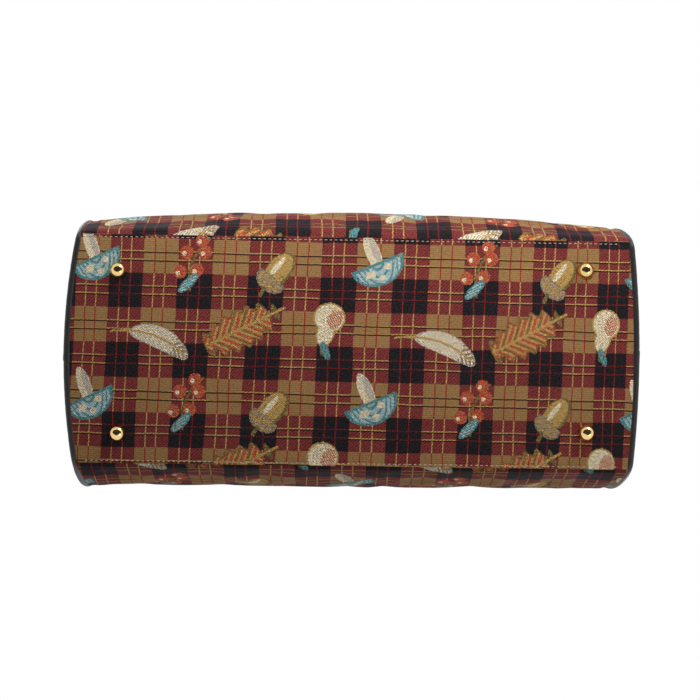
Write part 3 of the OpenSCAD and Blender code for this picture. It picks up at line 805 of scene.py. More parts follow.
# %% [markdown]
# ## Piping
# A cord wrapped in leatherette is sewn into each end seam. A curve with a round bevel would give a bare hose,
# so it is a grid rolled to a tube along the seam: its columns run round the loop and its rows round the
# cord. Small wrinkles run all along the wrap, and where its two ends meet on the base the last 15 mm lie
# over the first, so that there is a step.

# %% Middle line of the piping
PIPE_R, PIPE_SINK, CORNER_Y, PIPE_STEP = 3.25, 2.2, 99.3, 1.9


def pipe_line(end, steps_side=60, steps_base=60, steps_corner=8):
    """Closed middle line of one end's piping, up the front and down the back, in millimetres."""
    def side(t, way):
        p = outline(t, PIPE_SINK - (slump(end, t) if way > 0 else 0))
        return Vector((seam_x(t, end), way * p.x, p.y))

    def base(y):
        return Vector((seam_x(0, end) + end_bow(end) * (1 - (y / BASE_HALF) ** 2), y, BASE_Z + PIPE_SINK))

    def corner(w, way):
        knee = Vector((seam_x(0, end), way * (BASE_HALF - PIPE_SINK / 2), BASE_Z + PIPE_SINK))
        return (1 - w) ** 2 * base(way * CORNER_Y) + 2 * (1 - w) * w * knee + w * w * side(CORNER_T, way)

    ts = [CORNER_T + (1 - CORNER_T) * i / steps_side for i in range(steps_side + 1)]
    line = [side(t, -1) for t in ts] + [side(t, 1) for t in reversed(ts)]
    line += [corner(i / steps_corner, 1) for i in range(steps_corner - 1, 0, -1)]
    line += [base(CORNER_Y * (1 - 2 * i / steps_base)) for i in range(steps_base + 1)]
    return line + [corner(i / steps_corner, -1) for i in range(1, steps_corner)]


def even(points, step, closed=True):
    """The same line with its points evenly spaced, and its length."""
    run = points + points[:1] if closed else points
    sums = run_lengths(run)
    count = max(int(sums[-1] / step), 8)
    made, k = [], 0
    for i in range(count + (0 if closed else 1)):
        want = sums[-1] * i / count
        while k < len(run) - 2 and sums[k + 1] < want:
            k += 1
        share = (want - sums[k]) / max(sums[k + 1] - sums[k], 1e-9)
        made.append(run[k].lerp(run[k + 1], share))
    return made, sums[-1]


print("Piping loop:", round(even(pipe_line(-1), PIPE_STEP)[1]), "mm")

# %% Piping
LAP_HIGH, LAP_SHARP, LAP_FADE = 0.42, 3, 9
GAP_DEEP, GAP_AT, GAP_W = 0.2, 0.9, 0.8
SKIN_UNEVEN, SKIN_SIZE, WRINKLE_DEEP, WRINKLE_SIZE = 0.10, 5, 0.07, 2.4


def lap(over):
    """Step of the wrap where its last stretch lies over its first, at a distance past the join."""
    step = LAP_HIGH / (1 + math.exp(-over * LAP_SHARP)) * math.exp(-max(over, 0) / LAP_FADE)
    return step - GAP_DEEP * math.exp(-((over + GAP_AT) / GAP_W) ** 2)


def piping(name, node, way, join_y):
    """The welt round one end, with its join at join_y on the base."""
    line, length = even(pipe_line(way), PIPE_STEP)
    n, ring = len(line), 18

    def place(a, b):
        i = round(a * n) % n
        here, ahead, behind = line[i], line[(i + 1) % n], line[i - 1]
        d = (ahead - behind).normalized()
        out = Vector((0, -d.z, d.y)).normalized()
        turn = math.tau * b
        skin = here + 3 * Vector((math.cos(turn), 0, math.sin(turn)))
        wrinkle = wobble((i * PIPE_STEP, 3 * turn, 0), WRINKLE_SIZE, way + 12)
        r = PIPE_R + SKIN_UNEVEN * wobble(skin, SKIN_SIZE, way + 9) + WRINKLE_DEEP * wrinkle
        if here.z < BASE_Z + PIPE_R:
            r += lap((here.y - join_y) * way)
        p = here + r * (math.cos(turn) * out + math.sin(turn) * Vector((1, 0, 0)))
        return way * p.x, p.y + MID_Y, p.z

    def flat(a, b):
        return a * length / 1000, b * math.tau * PIPE_R / 1000

    made = laid_grid(name, n, ring, place, flat, closed=True)
    finish_piece(made, leatherette.material, "bag", "leatherette", node)


piping("left_welt", "left_piping", -1, join_y=12.0)
piping("right_welt", "right_piping", 1, join_y=-4.5)

# %% [markdown]
# ## Stitches
# A lockstitch shows as short thread loops that dip into the cloth at both ends. One stitch is a squashed
# sphere of a few dozen faces; it is copied along each seam, turned to follow it, and the copies are joined
# into one piece for each row.

# %% One stitch, and a row of them
bpy.ops.object.select_all(action="DESELECT")
bpy.ops.mesh.primitive_uv_sphere_add(segments=8, ring_count=6, radius=1)
STITCH_SKEW, STITCH_UNEVEN = 0.10, 0.08
one_stitch = bpy.context.object.data
bpy.data.objects.remove(bpy.context.object)


def stitch_row(name, places, body, long=2.9, wide=0.75, high=0.55):
    """Stitches at (place, direction, outward) in millimetres, joined into one piece that rides on a body."""
    copies = []
    for i, (place, way, out) in enumerate(places):
        x = Vector(way).normalized()
        z = (Vector(out) - Vector(out).dot(x) * x).normalized()
        y = z.cross(x)
        skew = STITCH_SKEW * math.sin(i * 12.9)
        x, y = x + y * skew, y - x * skew
        size = 1 + STITCH_UNEVEN * math.sin(i * 7.7)
        turn = Matrix([x * long * size / 2, y * wide / 2, z * high / 2]).transposed().to_4x4()
        mesh = one_stitch.copy()
        mesh.transform(Matrix.Scale(0.001, 4) @ Matrix.Translation(Vector(place)) @ turn)
        copy = bpy.data.objects.new(name, mesh)
        bpy.context.collection.objects.link(copy)
        copies.append(copy)
    alone(copies[0])
    for copy in copies:
        copy.select_set(True)
    bpy.ops.object.join()
    made = bpy.context.object
    made.name = made.data.name = name
    finish_piece(made, thread.material, body, "leatherette")


# %% Topstitching along both long base seams
def seam_places(way):
    """Stitches along one long edge of the base."""
    y = way * (FOLD_Y - STITCH_IN)
    half = base_end(y) - 4
    count = int(2 * half / STITCH_STEP)
    rows = []
    for i in range(count):
        x = (i - (count - 1) / 2) * STITCH_STEP
        rows.append(((x, y + MID_Y, base_height(x, y) - 0.12), (1, 0, 0), (0, 0, -1)))
    return rows


stitch_row("front_seam_thread", seam_places(-1), "bag")
stitch_row("back_seam_thread", seam_places(1), "bag")

# %% [markdown]
# ## Feet
# Each foot is a hollow brass dome pressed against the cloth, with two prongs through the board. A ball would
# do for the dome but not for its rim and flat tip, so its profile is drawn as a line of points, and the spin
# operator turns it round the axis. The prongs are bars that are cut and extruded sideways, as if bent.

# %% Dome
def lathe(name, profile, steps=48):
    """Spins a profile of (radius, height) in millimetres round Z."""
    mesh = bpy.data.meshes.new(name)
    edges = [(i, i + 1) for i in range(len(profile) - 1)]
    mesh.from_pydata([(r / 1000, 0, z / 1000) for r, z in profile], edges, [])
    obj = bpy.data.objects.new(name, mesh)
    bpy.context.collection.objects.link(obj)
    edit_all(obj, lambda: bpy.ops.mesh.spin(steps=steps, angle=math.tau, center=(0, 0, 0), axis=(0, 0, 1)),
             lambda: bpy.ops.mesh.select_all(action="SELECT"),
             lambda: bpy.ops.mesh.remove_doubles(threshold=1e-6),
             lambda: bpy.ops.mesh.normals_make_consistent(inside=False))
    return obj


FOOT_R, FOOT_FLAT, FOOT_SIDE, FOOT_TOP, ARC_POINTS = 7.5, 2.0, 8.0, 9.75, 22
RIM_R, RIM_LOW, RIM_HIGH, RIM_INNER_R = 7.72, 8.5, 9.2, 7.3
mid = math.sqrt(FOOT_R**2 - FOOT_FLAT**2)
flat_angle = math.asin(FOOT_FLAT / FOOT_R)
dome = [(0, 0), (1.0, 0), (FOOT_FLAT - 0.4, 0.01)]
for i in range(1, ARC_POINTS + 1):
    w = flat_angle + (math.pi / 2 - flat_angle) * i / ARC_POINTS
    dome.append((FOOT_R * math.sin(w), mid - FOOT_R * math.cos(w)))
dome += [(FOOT_R, FOOT_SIDE), (RIM_R, RIM_LOW), (RIM_R, RIM_HIGH)]
dome += [(RIM_INNER_R, FOOT_TOP), (FOOT_FLAT, FOOT_TOP), (0, FOOT_TOP)]
dome_mesh = lathe("dome", dome)
print("Dome turned from a profile of", len(dome), "points")

# %% Prongs, joined to the dome
PRONG_LOW, PRONG_HIGH, PRONG_BEND = 9.0, 17.4, 16.6
PRONG_W, PRONG_T, PRONG_Y, PRONG_FOLD = 3.6, 0.8, 1.2, 5.2


def prong(way):
    """A bent prong: a thin bar up through the board, folded over the washer by an extrusion."""
    bpy.ops.object.select_all(action="DESELECT")
    bpy.ops.mesh.primitive_cube_add(size=1)
    obj = bpy.context.object
    for p in obj.data.vertices:
        height = PRONG_LOW + (p.co.z + 0.5) * (PRONG_HIGH - PRONG_LOW)
        p.co = Vector((p.co.x * PRONG_W, way * (PRONG_Y + p.co.y * PRONG_T), height)) / 1000
    obj.data.update()
    alone(obj)
    bpy.ops.object.mode_set(mode="EDIT")
    bpy.ops.mesh.select_all(action="SELECT")
    bpy.ops.mesh.bisect(plane_co=(0, 0, PRONG_BEND / 1000), plane_no=(0, 0, 1))
    bpy.ops.object.mode_set(mode="OBJECT")
    for f in obj.data.polygons:
        outer = f.center.y * way > (PRONG_Y + PRONG_T / 4) / 1000 and abs(f.normal.y) > 0.9
        f.select = outer and f.center.z > PRONG_BEND / 1000
    bpy.ops.object.mode_set(mode="EDIT")
    bpy.ops.mesh.select_mode(type="FACE")
    bpy.ops.mesh.extrude_region_move(TRANSFORM_OT_translate={"value": (0, way * PRONG_FOLD / 1000, 0)})
    bpy.ops.mesh.select_all(action="SELECT")
    bpy.ops.mesh.normals_make_consistent(inside=False)
    bpy.ops.object.mode_set(mode="OBJECT")
    return obj


prongs = [prong(-1), prong(1)]
alone(dome_mesh)
for piece in prongs:
    piece.select_set(True)
bpy.ops.object.join()
foot_mesh = dome_mesh.data.copy()
bpy.data.objects.remove(dome_mesh)
print("One foot:", len(foot_mesh.polygons), "faces")

# %% Four feet
for name, (fx, fy) in feet.items():
    mesh = foot_mesh.copy()
    mesh.transform(Matrix.Translation((fx / 1000, fy / 1000, 0)) @ Matrix.Rotation(FOOT_TURN, 4, "Z"))
    stud = bpy.data.objects.new(name + "_stud", mesh)
    bpy.context.collection.objects.link(stud)
    finish_piece(stud, brass, "bag", "brass", name)

# %% [markdown]
# ## Finishes for the metal and board that keep their CAD shape
# Rings, teeth, slider, pull and stops are hard, and the CAD gives them exactly, so they only get a
# material.

# %% Finishes on CAD nodes
def dress(material, *nodes):
    """Puts one finish on CAD nodes that stay in view."""
    for node in nodes:
        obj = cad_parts[node]
        obj.data.materials.clear()
        obj.data.materials.append(material)
    print(material.name, "on", len(nodes), "nodes")


dress(brass, *[f"{row}_{hand}_ring" for row in ROWS for hand in HANDS], "left_d_ring", "right_d_ring",
      "front_zip_teeth", "back_zip_teeth", "zip_stops", "zip_slider", "zip_pull")
dress(steel, "foot_washers")
dress(board.material, "base_board")

# %% [markdown]
# ## Zip tapes
# Each tape is a narrow woven ribbon that runs from under the panel's edge to its row of teeth, with a
# thicker bead at the teeth. It is a flat grid with a raised inner edge.

# %% Zip tapes
TAPE_HALF, TAPE_IN, TAPE_W, TAPE_Z = 240.45, 3.2, 17.3, 306.6
BEAD_HIGH, BEAD_W, TAPE_WAVE = 0.3, 0.8, 0.12


def zip_tape(name, node, way):
    """One tape, from its row of teeth outward."""
    def place(a, b):
        x = (2 * a - 1) * TAPE_HALF
        y = TAPE_IN + TAPE_W * b
        bead = BEAD_HIGH * math.exp(-(((y - TAPE_IN) / BEAD_W) ** 2))
        return x, way * y + MID_Y, TAPE_Z + bead + TAPE_WAVE * wobble((x, y, 0), 18, 8)

    def flat(a, b):
        return (2 * a - 1) * TAPE_HALF / 1000, b * TAPE_W / 1000

    made = laid_grid(name, 160, 12, place, flat, Vector((0, 0, 1)))
    facts = sheet_facts(made, 0.0175, 0.482, held="stretched",
                        rests_on=["front_panel" if way < 0 else "back_panel"])
    sheet_wall(made, TAPE_T)
    finish_piece(made, tape_weave, "bag", "zip_tape", node)


zip_tape("front_ribbon", "front_zip_tape", -1)
zip_tape("back_ribbon", "back_zip_tape", 1)

# %% [markdown]
# ## Lining
# The lining hangs inside the shell as a second, thinner bag. It is one sheet up the front wall, over the
# floor and up the back wall, with a sheet at each end.

# %% Lining walls and floor
LINING_DEEP, LINING_FLOOR, LINING_LONG, LINING_LOW = 5.4, 17.4, 239.0, 0.07


def lining_edge(share):
    """Outline of the lining, from just over the floor to the zip."""
    return outline(LINING_LOW + (1 - LINING_LOW) * share, LINING_DEEP)


half = [lining_edge(i / 24) for i in range(25)]
bow_line = [Vector((-p.x, p.y)) for p in reversed(half)]
bow_line += [Vector((half[0].x * k, LINING_FLOOR)) for k in (-0.96, -0.6, -0.2, 0.2, 0.6, 0.96)] + half
bow_line, bow_length = even(bow_line, 8.0, closed=False)


def wall_place(a, b):
    """Place on the sheet that runs down the front, over the floor and up the back."""
    p = bow_line[round(b * (len(bow_line) - 1))]
    x = (2 * a - 1) * LINING_LONG
    give = 0.5 * wobble((x, p.x, p.y), 40, 11)
    return x, p.x * (1 - give / 120) + MID_Y, p.y + (0 if p.y > 30 else abs(give) * 0.4)


def wall_flat(a, b):
    """Its UV map, in metres."""
    return (2 * a - 1) * LINING_LONG / 1000, b * bow_length / 1000


lining_wall = laid_grid("lining_wall", 60, len(bow_line) - 1, wall_place, wall_flat, Vector((0, 0, -1)))
facts = sheet_facts(lining_wall, 2 * LINING_LONG / 1000, bow_length / 1000, held="hung",
                    rests_on=["front_zip_tape", "back_zip_tape"])
sheet_wall(lining_wall, LINING_T)
finish_piece(lining_wall, lining_weave, "bag", "lining", "lining")


# %% Lining ends
def lining_end(name, way):
    """The sheet at one end of the lining."""
    def place(a, b):
        p = lining_edge(b)
        y = (2 * a - 1) * p.x
        x = LINING_LONG + 0.2 + 0.4 * wobble((y, p.y, way), 45, 13)
        return way * x, y + MID_Y, p.y if b > 0 else LINING_FLOOR

    def flat(a, b):
        return (2 * a - 1) * 0.12, b * 0.3

    made = laid_grid(name, 24, 40, place, flat, Vector((way, 0, 0)))
    facts = sheet_facts(made, 0.242, 0.292, held="hung", rests_on=["lining"])
    sheet_wall(made, LINING_T)
    finish_piece(made, lining_weave, "bag", "lining")


lining_end("lining_left", -1)
lining_end("lining_right", 1)

# %% [markdown]
# ## Handles
# A handle is a strip of leatherette rolled round a cord: flat where it leaves the loops, round along the
# arch, with the joined edge as a sewn groove on its inner side. It is a tube whose section changes along its
# line, and the line lies in a plane that leans over the bag until the two rolls meet.

# %% Places of the handles
HANDLE_X, HANDLE_H, RING_H, ARCH_Z = 95.0, 205.0, 15.0, 80.0
ROLL_R, ROLL_LOW, ROLL_GAP, STRAP_H = 7.5, 28.0, 0.15, 34.0
FLAT_HALF_W, FLAT_HALF_T = 12.0, 2.0
LEATHER, BORE, LOOP_W = 2.4, 2.1, 25.0
LOOP_R, LOOP_LIFT, SEAM_GAP = BORE + LEATHER, 0.3, 0.3
TAB_GAP, TAB_LOW, TAB_HIGH = 0.45, 0.53, 0.68
HANDLE_S = HANDLE_X / (END_X - PIPE_R - SEAM_GAP)


def on_side(t, crown, depth):
    """Place on the long side in line with the handles."""
    return outline(t, depth - crown * side_swell(HANDLE_S, t))


def ring_bar(crown):
    """Middle of the bar on which a ring turns, over the upper end of its tab."""
    return on_side(TAB_HIGH, crown, -TAB_GAP - LOOP_R - LOOP_LIFT)


def handle_frame(way, crown):
    """Turns a point of the handle's own plane (x, out, up) into a place on the bag, in millimetres."""
    hinge = ring_bar(crown)
    lean = math.asin((hinge.x - ROLL_R - ROLL_GAP) / (RING_H + HANDLE_H))
    c, s = math.cos(lean), math.sin(lean)

    def carry(x, out, up):
        return Vector((x, way * (hinge.x + out * c - up * s) + MID_Y, hinge.y + up * c + out * s))

    return carry


SIDES = {"front": (-1, 12.0), "back": (1, 3.0)}
carries = {row: handle_frame(way, crown) for row, (way, crown) in SIDES.items()}
print("Top of the front handle:", [round(v, 1) for v in carries["front"](0, 0, RING_H + HANDLE_H)])


# %% Line and section of a roll
def roll_line():
    """Middle line of a roll in its own plane: up one leg, over the arch and down the other."""
    legs = [Vector((HANDLE_X, ROLL_LOW + (ARCH_Z - ROLL_LOW) * i / 12)) for i in range(12)]
    turns = [math.pi * i / 60 for i in range(61)]
    arch = [Vector((HANDLE_X * math.cos(w), ARCH_Z + (HANDLE_H - ARCH_Z) * math.sin(w))) for w in turns]
    return legs + arch + [Vector((-p.x, p.y)) for p in reversed(legs)]


def roll_section(up):
    """Half width and half thickness of a roll at a height: flat below, round above."""
    f = min(max((up - STRAP_H) / (ARCH_Z - STRAP_H), 0), 1)
    f = f * f * (3 - 2 * f)
    return FLAT_HALF_W * (1 - f) + ROLL_R * f, FLAT_HALF_T * (1 - f) + ROLL_R * f


# %% Rolls
GROOVE_DEEP, GROOVE_W, ROLL_UNEVEN, ROLL_SEAM = 0.06, 0.16, 0.012, 0.955


def roll(row):
    """One rolled handle and the stitches along its joined edge."""
    line, length = even(roll_line(), 3.0, closed=False)
    n, ring = len(line) - 1, 24

    def place(a, b):
        i = round(a * n)
        p, d = line[i], (line[min(i + 1, n)] - line[max(i - 1, 0)]).normalized()
        half_w, half_t = roll_section(p.y)
        turn = math.tau * b
        from_edge = math.acos(min(max(-math.cos(turn), -1), 1))
        groove = 1 - GROOVE_DEEP * math.exp(-((from_edge / GROOVE_W) ** 2))
        soft = 1 + ROLL_UNEVEN * wobble((p.x, p.y, turn * 6), 9, 15)
        if a in (0, 1):
            soft *= 0.2
        w, h = half_w * math.cos(turn) * groove * soft, half_t * math.sin(turn) * soft
        return carries[row](p.x + d.y * w, h, RING_H + p.y - d.x * w)

    def flat(a, b):
        return a * length / 1000, b * math.tau * ROLL_R / 1000

    made = laid_grid(f"{row}_roll", n, ring, place, flat, closed=True)
    finish_piece(made, leatherette.material, f"{row}_handle", "leatherette", f"{row}_handle")
    places = []
    for i in range(14, n - 13):
        p, d = line[i], (line[i + 1] - line[i - 1]).normalized()
        w = -roll_section(p.y)[0] * ROLL_SEAM
        middle = carries[row](p.x + d.y * w, 0, RING_H + p.y - d.x * w)
        ahead = carries[row](p.x + d.x, 0, p.y + d.y) - carries[row](p.x, 0, p.y)
        out = carries[row](p.x - d.y, 0, p.y + d.x) - carries[row](p.x, 0, p.y)
        places.append((middle, ahead, out))
    stitch_row(f"{row}_roll_thread", places, f"{row}_handle", long=2.0, wide=0.6, high=0.5)


for row in SIDES:
    roll(row)

# %% [markdown]
# ## Folded straps: loops, tabs and end tabs
# These are all one thing: a leatherette strip folded round a metal bar and sewn to itself. Each is a grid
# along the middle line of its fold, thickened to both sides, with rounded edges and a row of stitches round
# its border.

# %% Folded strap
STRAP_T, EDGE_SHARE = LEATHER - 0.1, 0.28


def strap(name, node, body, fold, across, width, round_end=False):
    """A strip along fold, a list of (place, out) in millimetres, spread along the across direction."""
    sums = run_lengths([p for p, _ in fold])
    half, long = width / 2, sums[-1]

    def at(d):
        """Place and outward direction at a distance along the fold."""
        k = 0
        while k < len(fold) - 2 and sums[k + 1] < d:
            k += 1
        share = (d - sums[k]) / max(sums[k + 1] - sums[k], 1e-9)
        return fold[k][0].lerp(fold[k + 1][0], share), fold[k][1].lerp(fold[k + 1][1], share).normalized()

    def place(a, b):
        c = half * math.sin((a - 0.5) * math.pi)
        first = half - math.sqrt(max(half * half - c * c, 0)) if round_end else 0.0
        return at(first + (long - first) * b)[0] + across * c

    def flat(a, b):
        return (2 * a - 1) * half / 1000, b * long / 1000

    made = laid_grid(name, 14, int(long / 1.7), place, flat, fold[0][1])
    wall = made.modifiers.new("wall", "SOLIDIFY")
    wall.thickness, wall.offset = STRAP_T / 1000, 0
    edge = made.modifiers.new("edge", "BEVEL")
    edge.width, edge.segments = STRAP_T * EDGE_SHARE / 1000, 2
    edge.limit_method, edge.angle_limit = "ANGLE", math.radians(55)
    apply_modifiers(made)
    finish_piece(made, leatherette.material, body, "leatherette", node)
    return at, sums


# %% Stitches on a strap, and its bend
STITCH_LIFT, BEND_R = 1.2, BORE + LEATHER / 2


def sewn(name, body, at, across, *lines):
    """Stitches along lines of (across, along) distances on a strap."""
    places = []
    for line in lines:
        spots, _ = even([Vector(p) for p in line], 3.0, closed=False)
        carried = [(at(p.y)[0] + across * p.x + at(p.y)[1] * STITCH_LIFT, at(p.y)[1]) for p in spots]
        places += [((p + q) / 2, q - p, face) for (p, face), (q, _) in zip(carried, carried[1:])]
    stitch_row(name, places, body, long=2.1, wide=0.6, high=0.5)


def round_bar(centre, radius, first, last, a, b, steps=20):
    """Points of an arc from angle first to last about a bar, in the plane of the two unit vectors a and b."""
    made = []
    for i in range(steps + 1):
        w = math.radians(first + (last - first) * i / steps)
        out = a * math.cos(w) + b * math.sin(w)
        made.append((centre + out * radius, out))
    return made


# %% Loops at the ends of the handles
X_AXIS, Y_AXIS = Vector((1, 0, 0)), Vector((0, 1, 0))
LEG_GAP, LEG_SPREAD, SPREAD_FROM, SPREAD_OVER = 1.35, 2.0, 12, 14
LOOP_RIM, LOOP_EDGE, LOOP_DEEP = 9.8, 2.4, 24
u_seam = [(-LOOP_RIM, LOOP_DEEP), (-LOOP_RIM, LOOP_EDGE), (LOOP_RIM, LOOP_EDGE), (LOOP_RIM, LOOP_DEEP)]
for row in SIDES:
    carry = carries[row]
    for hand, way_x in HANDS.items():
        x = way_x * HANDLE_X
        bar = carry(x, 0, RING_H)
        out, up = carry(x, 1, RING_H) - bar, carry(x, 0, RING_H + 1) - bar

        def leg(side, h):
            spread = LEG_GAP + LEG_SPREAD * min(max((h - SPREAD_FROM) / SPREAD_OVER, 0), 1)
            return bar + out * side * spread + up * h, out * side

        rise = [6 + 2 * i for i in range(15)]
        fold = [leg(-1, h) for h in reversed(rise)]
        fold += round_bar(bar, BEND_R, 158, 382, out, up) + [leg(1, h) for h in rise]
        at, sums = strap(f"{row}_{hand}_fold", f"{row}_{hand}_loop", f"{row}_handle", fold, X_AXIS, LOOP_W)
        far_seam = [(c, sums[-1] - d) for c, d in u_seam]
        sewn(f"{row}_{hand}_fold_thread", f"{row}_handle", at, X_AXIS, u_seam, far_seam)

# %% [markdown]
# ## Tabs that hold the handles
# On each long side two tabs with a round lower end are sewn flat to the cloth, and their upper end goes round
# the bar of a ring. The fold follows the side's own outline, so a tab lies on the cloth over all its length.

# %% Tabs on the long sides
TAB_BEND, TAB_RIM, STRIP_STEPS = 0.675, LOOP_W / 2 - 2.6, 20
half_turn = [math.pi * k / 16 for k in range(17)]
bend = [(-TAB_RIM * math.cos(w), LOOP_W / 2 - TAB_RIM * math.sin(w)) for w in half_turn]
for row, (way, crown) in SIDES.items():
    hinge = ring_bar(crown)
    for hand, way_x in HANDS.items():
        x = way_x * HANDLE_X

        def lift(p):
            return Vector((x, way * p.x + MID_Y, p.y))

        def strip(t):
            p, q = on_side(t, crown, -TAB_GAP - LEATHER / 2), on_side(t, crown, -TAB_GAP - LEATHER / 2 - 1)
            return lift(p), lift(q) - lift(p)

        top, out = strip(TAB_BEND)
        up = (top - strip(TAB_BEND - 0.015)[0]).normalized()
        fold = [strip(TAB_LOW + (TAB_BEND - TAB_LOW) * i / STRIP_STEPS) for i in range(STRIP_STEPS + 1)]
        fold += round_bar(lift(hinge), BEND_R, 172, -128, out, up)
        at, sums = strap(f"{row}_{hand}_patch", f"{row}_{hand}_tab", "bag", fold, X_AXIS, LOOP_W,
                         round_end=True)
        far = sums[STRIP_STEPS] - 5
        border = [(-TAB_RIM, far)] + bend + [(TAB_RIM, far), (-TAB_RIM, far)]
        sewn(f"{row}_{hand}_patch_thread", "bag", at, X_AXIS, border)

# %% [markdown]
# ## Tabs that hold the D-rings
# One tab hangs from the top of each end. It is the same strip turned over: sewn above, with its bend round
# the ring's bar below. The end has its own outline, so the fold asks another function for its places.

# %% Tabs on the two ends
END_TAB_W, END_TAB_RIM, END_DEEP = 24.0, 9.4, 5.75
END_TAB_TOP, END_TAB_BEND, END_BAR = 0.97, 0.755, 0.75


def end_middle(t, depth):
    """Place on the middle line of the right end, moved in by a depth, as (x, z)."""
    def face(k):
        swell = END_BOW * (1 - k) ** 2 + END_SWELL * math.sin(math.pi * k)
        return Vector((seam_x(k) + END_OUT + swell, outline(k, END_DEEP).y))

    way = (face(t + 0.004) - face(t - 0.004)).normalized()
    return face(t) - depth * Vector((way.y, -way.x))


for hand, way in HANDS.items():
    def lift(p):
        return Vector((way * p.x, MID_Y, p.y))

    def strip(t):
        p = lift(end_middle(t, -TAB_GAP - LEATHER / 2))
        return p, lift(end_middle(t, -TAB_GAP - LEATHER / 2 - 1)) - p

    bar = lift(end_middle(END_BAR, -TAB_GAP - LOOP_R - LOOP_LIFT))
    first, out = strip(END_TAB_BEND)
    up = (strip(END_BAR + 0.05)[0] - first).normalized()
    drop = END_TAB_BEND - END_TAB_TOP
    fold = [strip(END_TAB_TOP + drop * i / STRIP_STEPS) for i in range(STRIP_STEPS + 1)]
    fold += round_bar(bar, BEND_R, 188, 488, out, up)
    at, sums = strap(f"{hand}_end_patch", f"{hand}_end_tab", "bag", fold, Y_AXIS, END_TAB_W)
    far, rim = sums[STRIP_STEPS] - 5, END_TAB_RIM
    sewn(f"{hand}_end_patch_thread", "bag", at, Y_AXIS, [(-rim, 2), (-rim, far), (rim, far), (rim, 2)])
    print(hand, "bar at", [round(v, 1) for v in bar])

# %% [markdown]
# ## Thread along the zip
# A row of stitches holds each long side to its tape. They are placed by the side's outline, just under its
# upper edge, and use the same stitch as the base seams, a little smaller.

# %% Topstitching along the zip
ZIP_SEAM_T, ZIP_SEAM_HALF, ZIP_STITCHES, ZIP_STITCH_STEP = 0.985, 243.0, 131, 3.6
for row, (way, crown) in SIDES.items():
    places = []
    for i in range(ZIP_STITCHES):
        x = (i - (ZIP_STITCHES - 1) / 2) * ZIP_STITCH_STEP
        inward = zip_tuck(ZIP_SEAM_T) - crown * side_swell(x / ZIP_SEAM_HALF, ZIP_SEAM_T)
        p, q = outline(ZIP_SEAM_T, inward - 0.1), outline(ZIP_SEAM_T, inward - 1.1)
        places.append(((x, way * p.x + MID_Y, p.y), X_AXIS, (0, way * (q.x - p.x), q.y - p.y)))
    stitch_row(f"{row}_zip_thread", places, "bag", long=2.4, wide=0.65, high=0.5)

# %% [markdown]
# ## Floor and world
# The bag is shown on white and seen from below, so a common floor would hide it. This floor has one side: it
# is there for views from above, and a camera below it sees through. The world is white to the camera and to
# reflections, and much dimmer as a light, so that the colours stay as they were written.

# %% Floor and world
TENT_LIGHT, WHITE = (0.34, 0.34, 0.35, 1), (1, 1, 1, 1)
bpy.ops.object.select_all(action="DESELECT")
bpy.ops.mesh.primitive_plane_add(size=40, location=(0, 0, 0))
floor = bpy.context.object
floor.name = "floor"
ground = Finish("pale_floor")
speck = ground.noise(ground.place(), 60.0, 3.0)
ground.set(base_color=ground.mix(speck, rgb(240, 240, 240), rgb(248, 248, 248)), roughness=0.8 + speck * 0.1)
facing = ground.node("ShaderNodeNewGeometry").outputs["Backfacing"]
clear = ground.node("ShaderNodeBsdfTransparent").outputs[0]
glow = ground.node("ShaderNodeEmission", {}, {"Color": WHITE, "Strength": 1.0}).outputs[0]
looked_at = Value(ground, ground.node("ShaderNodeLightPath").outputs["Is Camera Ray"]) * 0.55
pale = ground.node("ShaderNodeMixShader", {}, {0: looked_at, 1: ground.shader.outputs[0], 2: glow}).outputs[0]
both = ground.node("ShaderNodeMixShader", {}, {0: facing, 1: pale, 2: clear})
ground.links.new(both.outputs[0], ground.nodes["Material Output"].inputs[0])
floor.data.materials.append(ground.material)
floor.visible_shadow = floor.visible_diffuse = floor.visible_glossy = False
world = bpy.data.worlds.new("tent")
bpy.context.scene.world = world
world.use_nodes = True
sky, wires = world.node_tree.nodes, world.node_tree.links
path = sky.new("ShaderNodeLightPath")
seen = sky.new("ShaderNodeMath")
seen.operation = "MAXIMUM"
wires.new(path.outputs["Is Camera Ray"], seen.inputs[0])
wires.new(path.outputs["Is Glossy Ray"], seen.inputs[1])
level_mix = sky.new("ShaderNodeMix")
level_mix.data_type = "RGBA"
level_mix.inputs[6].default_value = TENT_LIGHT
level_mix.inputs[7].default_value = WHITE
wires.new(seen.outputs[0], level_mix.inputs[0])
wires.new(level_mix.outputs[2], sky["Background"].inputs["Color"])
print("Floor and tent made")

# %% [markdown]
# ## Light and camera
# Soft lamps stand above and below. The key lamp below has a narrow spread and aims past the front edge, so
# the light falls off toward the back, as it does in the photograph. A dark card below gives the domes their
# dark middle. The camera looks up at the base, and its place and turn were fitted to the bag's outer edges,
# seams and feet.

# %% Lamps and card
def softbox(name, place, aim, size, power, spread=180, mirrored=True):
    """A square area lamp, in metres, watts and degrees; brass shows it only if it is mirrored."""
    bpy.ops.object.select_all(action="DESELECT")
    bpy.ops.object.light_add(type="AREA", location=place)
    lamp = bpy.context.object
    lamp.name = name
    lamp.data.shape, lamp.data.size, lamp.data.energy = "SQUARE", size, power
    lamp.data.spread, lamp.visible_glossy = math.radians(spread), mirrored
    lamp.rotation_euler = (Vector(aim) - Vector(place)).to_track_quat("-Z", "Y").to_euler()
    lamp.visible_camera = False


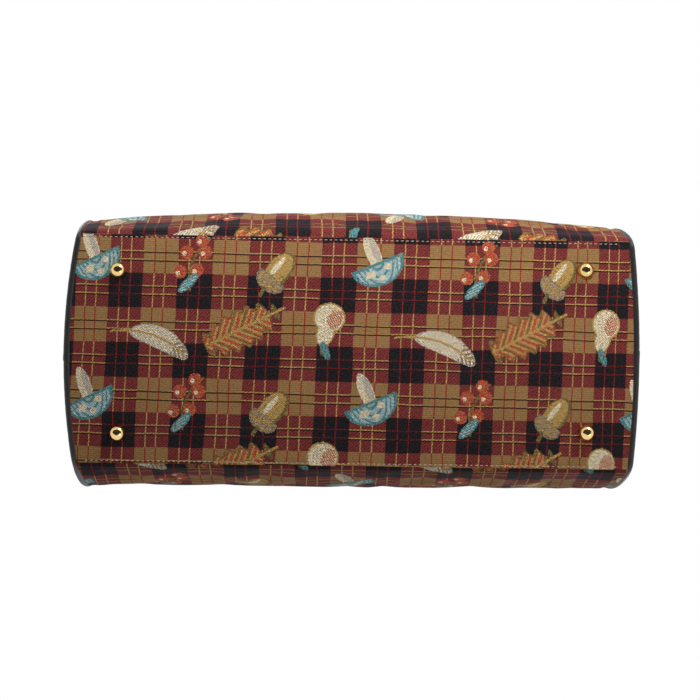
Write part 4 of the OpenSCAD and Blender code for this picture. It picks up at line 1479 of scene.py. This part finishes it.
softbox("key_below", (-0.2, -0.45, -1.1), (0.14, -0.9, 0), 0.5, 11.5, spread=95, mirrored=False)
softbox("fill_below", (0.9, 0.6, -0.95), (0, 0, 0.05), 0.7, 2)
softbox("key_front", (0.9, -1.6, -0.5), (0, -0.1, 0.05), 0.7, 25)
softbox("key_above", (-0.9, -1.1, 1.5), (0, 0, 0.15), 1.0, 15)
softbox("fill_above", (1.1, 0.9, 1.3), (0, 0, 0.15), 1.0, 10)
bpy.ops.object.select_all(action="DESELECT")
bpy.ops.mesh.primitive_circle_add(vertices=64, radius=1.65, fill_type="NGON", location=(0, -1.0, -1.9))
bpy.ops.transform.resize(value=(2.4, 1, 1))
card = bpy.context.object
card.name = "dark_card"
card_paint = Finish("card_paint")
grain = card_paint.noise(card_paint.place(), 40.0, 2.0)
card_colour = card_paint.mix(grain, rgb(58, 54, 48), rgb(70, 66, 60))
card_paint.set(base_color=card_colour, roughness=0.9 + grain * 0.05)
card.data.materials.append(card_paint.material)
card.visible_camera = card.visible_diffuse = card.visible_shadow = False
print("Five lamps and a card set")

# %% Camera
FRAME_PX, FOCAL_PX, SENSOR = 700, 1644.5, 36
EYE_AT, PAN, TILT, ROLL = (-0.0256, 0.0633, -1.5), 0.01549, -0.03993, 0.0138
ahead = Vector((math.sin(PAN), math.sin(TILT) * math.cos(PAN), math.cos(TILT) * math.cos(PAN)))
right = ahead.cross(Vector((0, -1, 0))).normalized()
upward = right.cross(ahead)
c, s = math.cos(ROLL), math.sin(ROLL)
right, upward = right * c + upward * s, upward * c - right * s
eye = bpy.data.cameras.new("eye")
eye.lens, eye.sensor_width = FOCAL_PX * SENSOR / FRAME_PX, SENSOR
camera = bpy.data.objects.new("camera", eye)
bpy.context.collection.objects.link(camera)
turn = Matrix([right, upward, -ahead]).transposed().to_4x4()
camera.matrix_world = Matrix.Translation(EYE_AT) @ turn
bpy.context.scene.camera = camera
bpy.context.scene.view_settings.view_transform = "Standard"
print("Camera lens", round(eye.lens, 1), "mm")
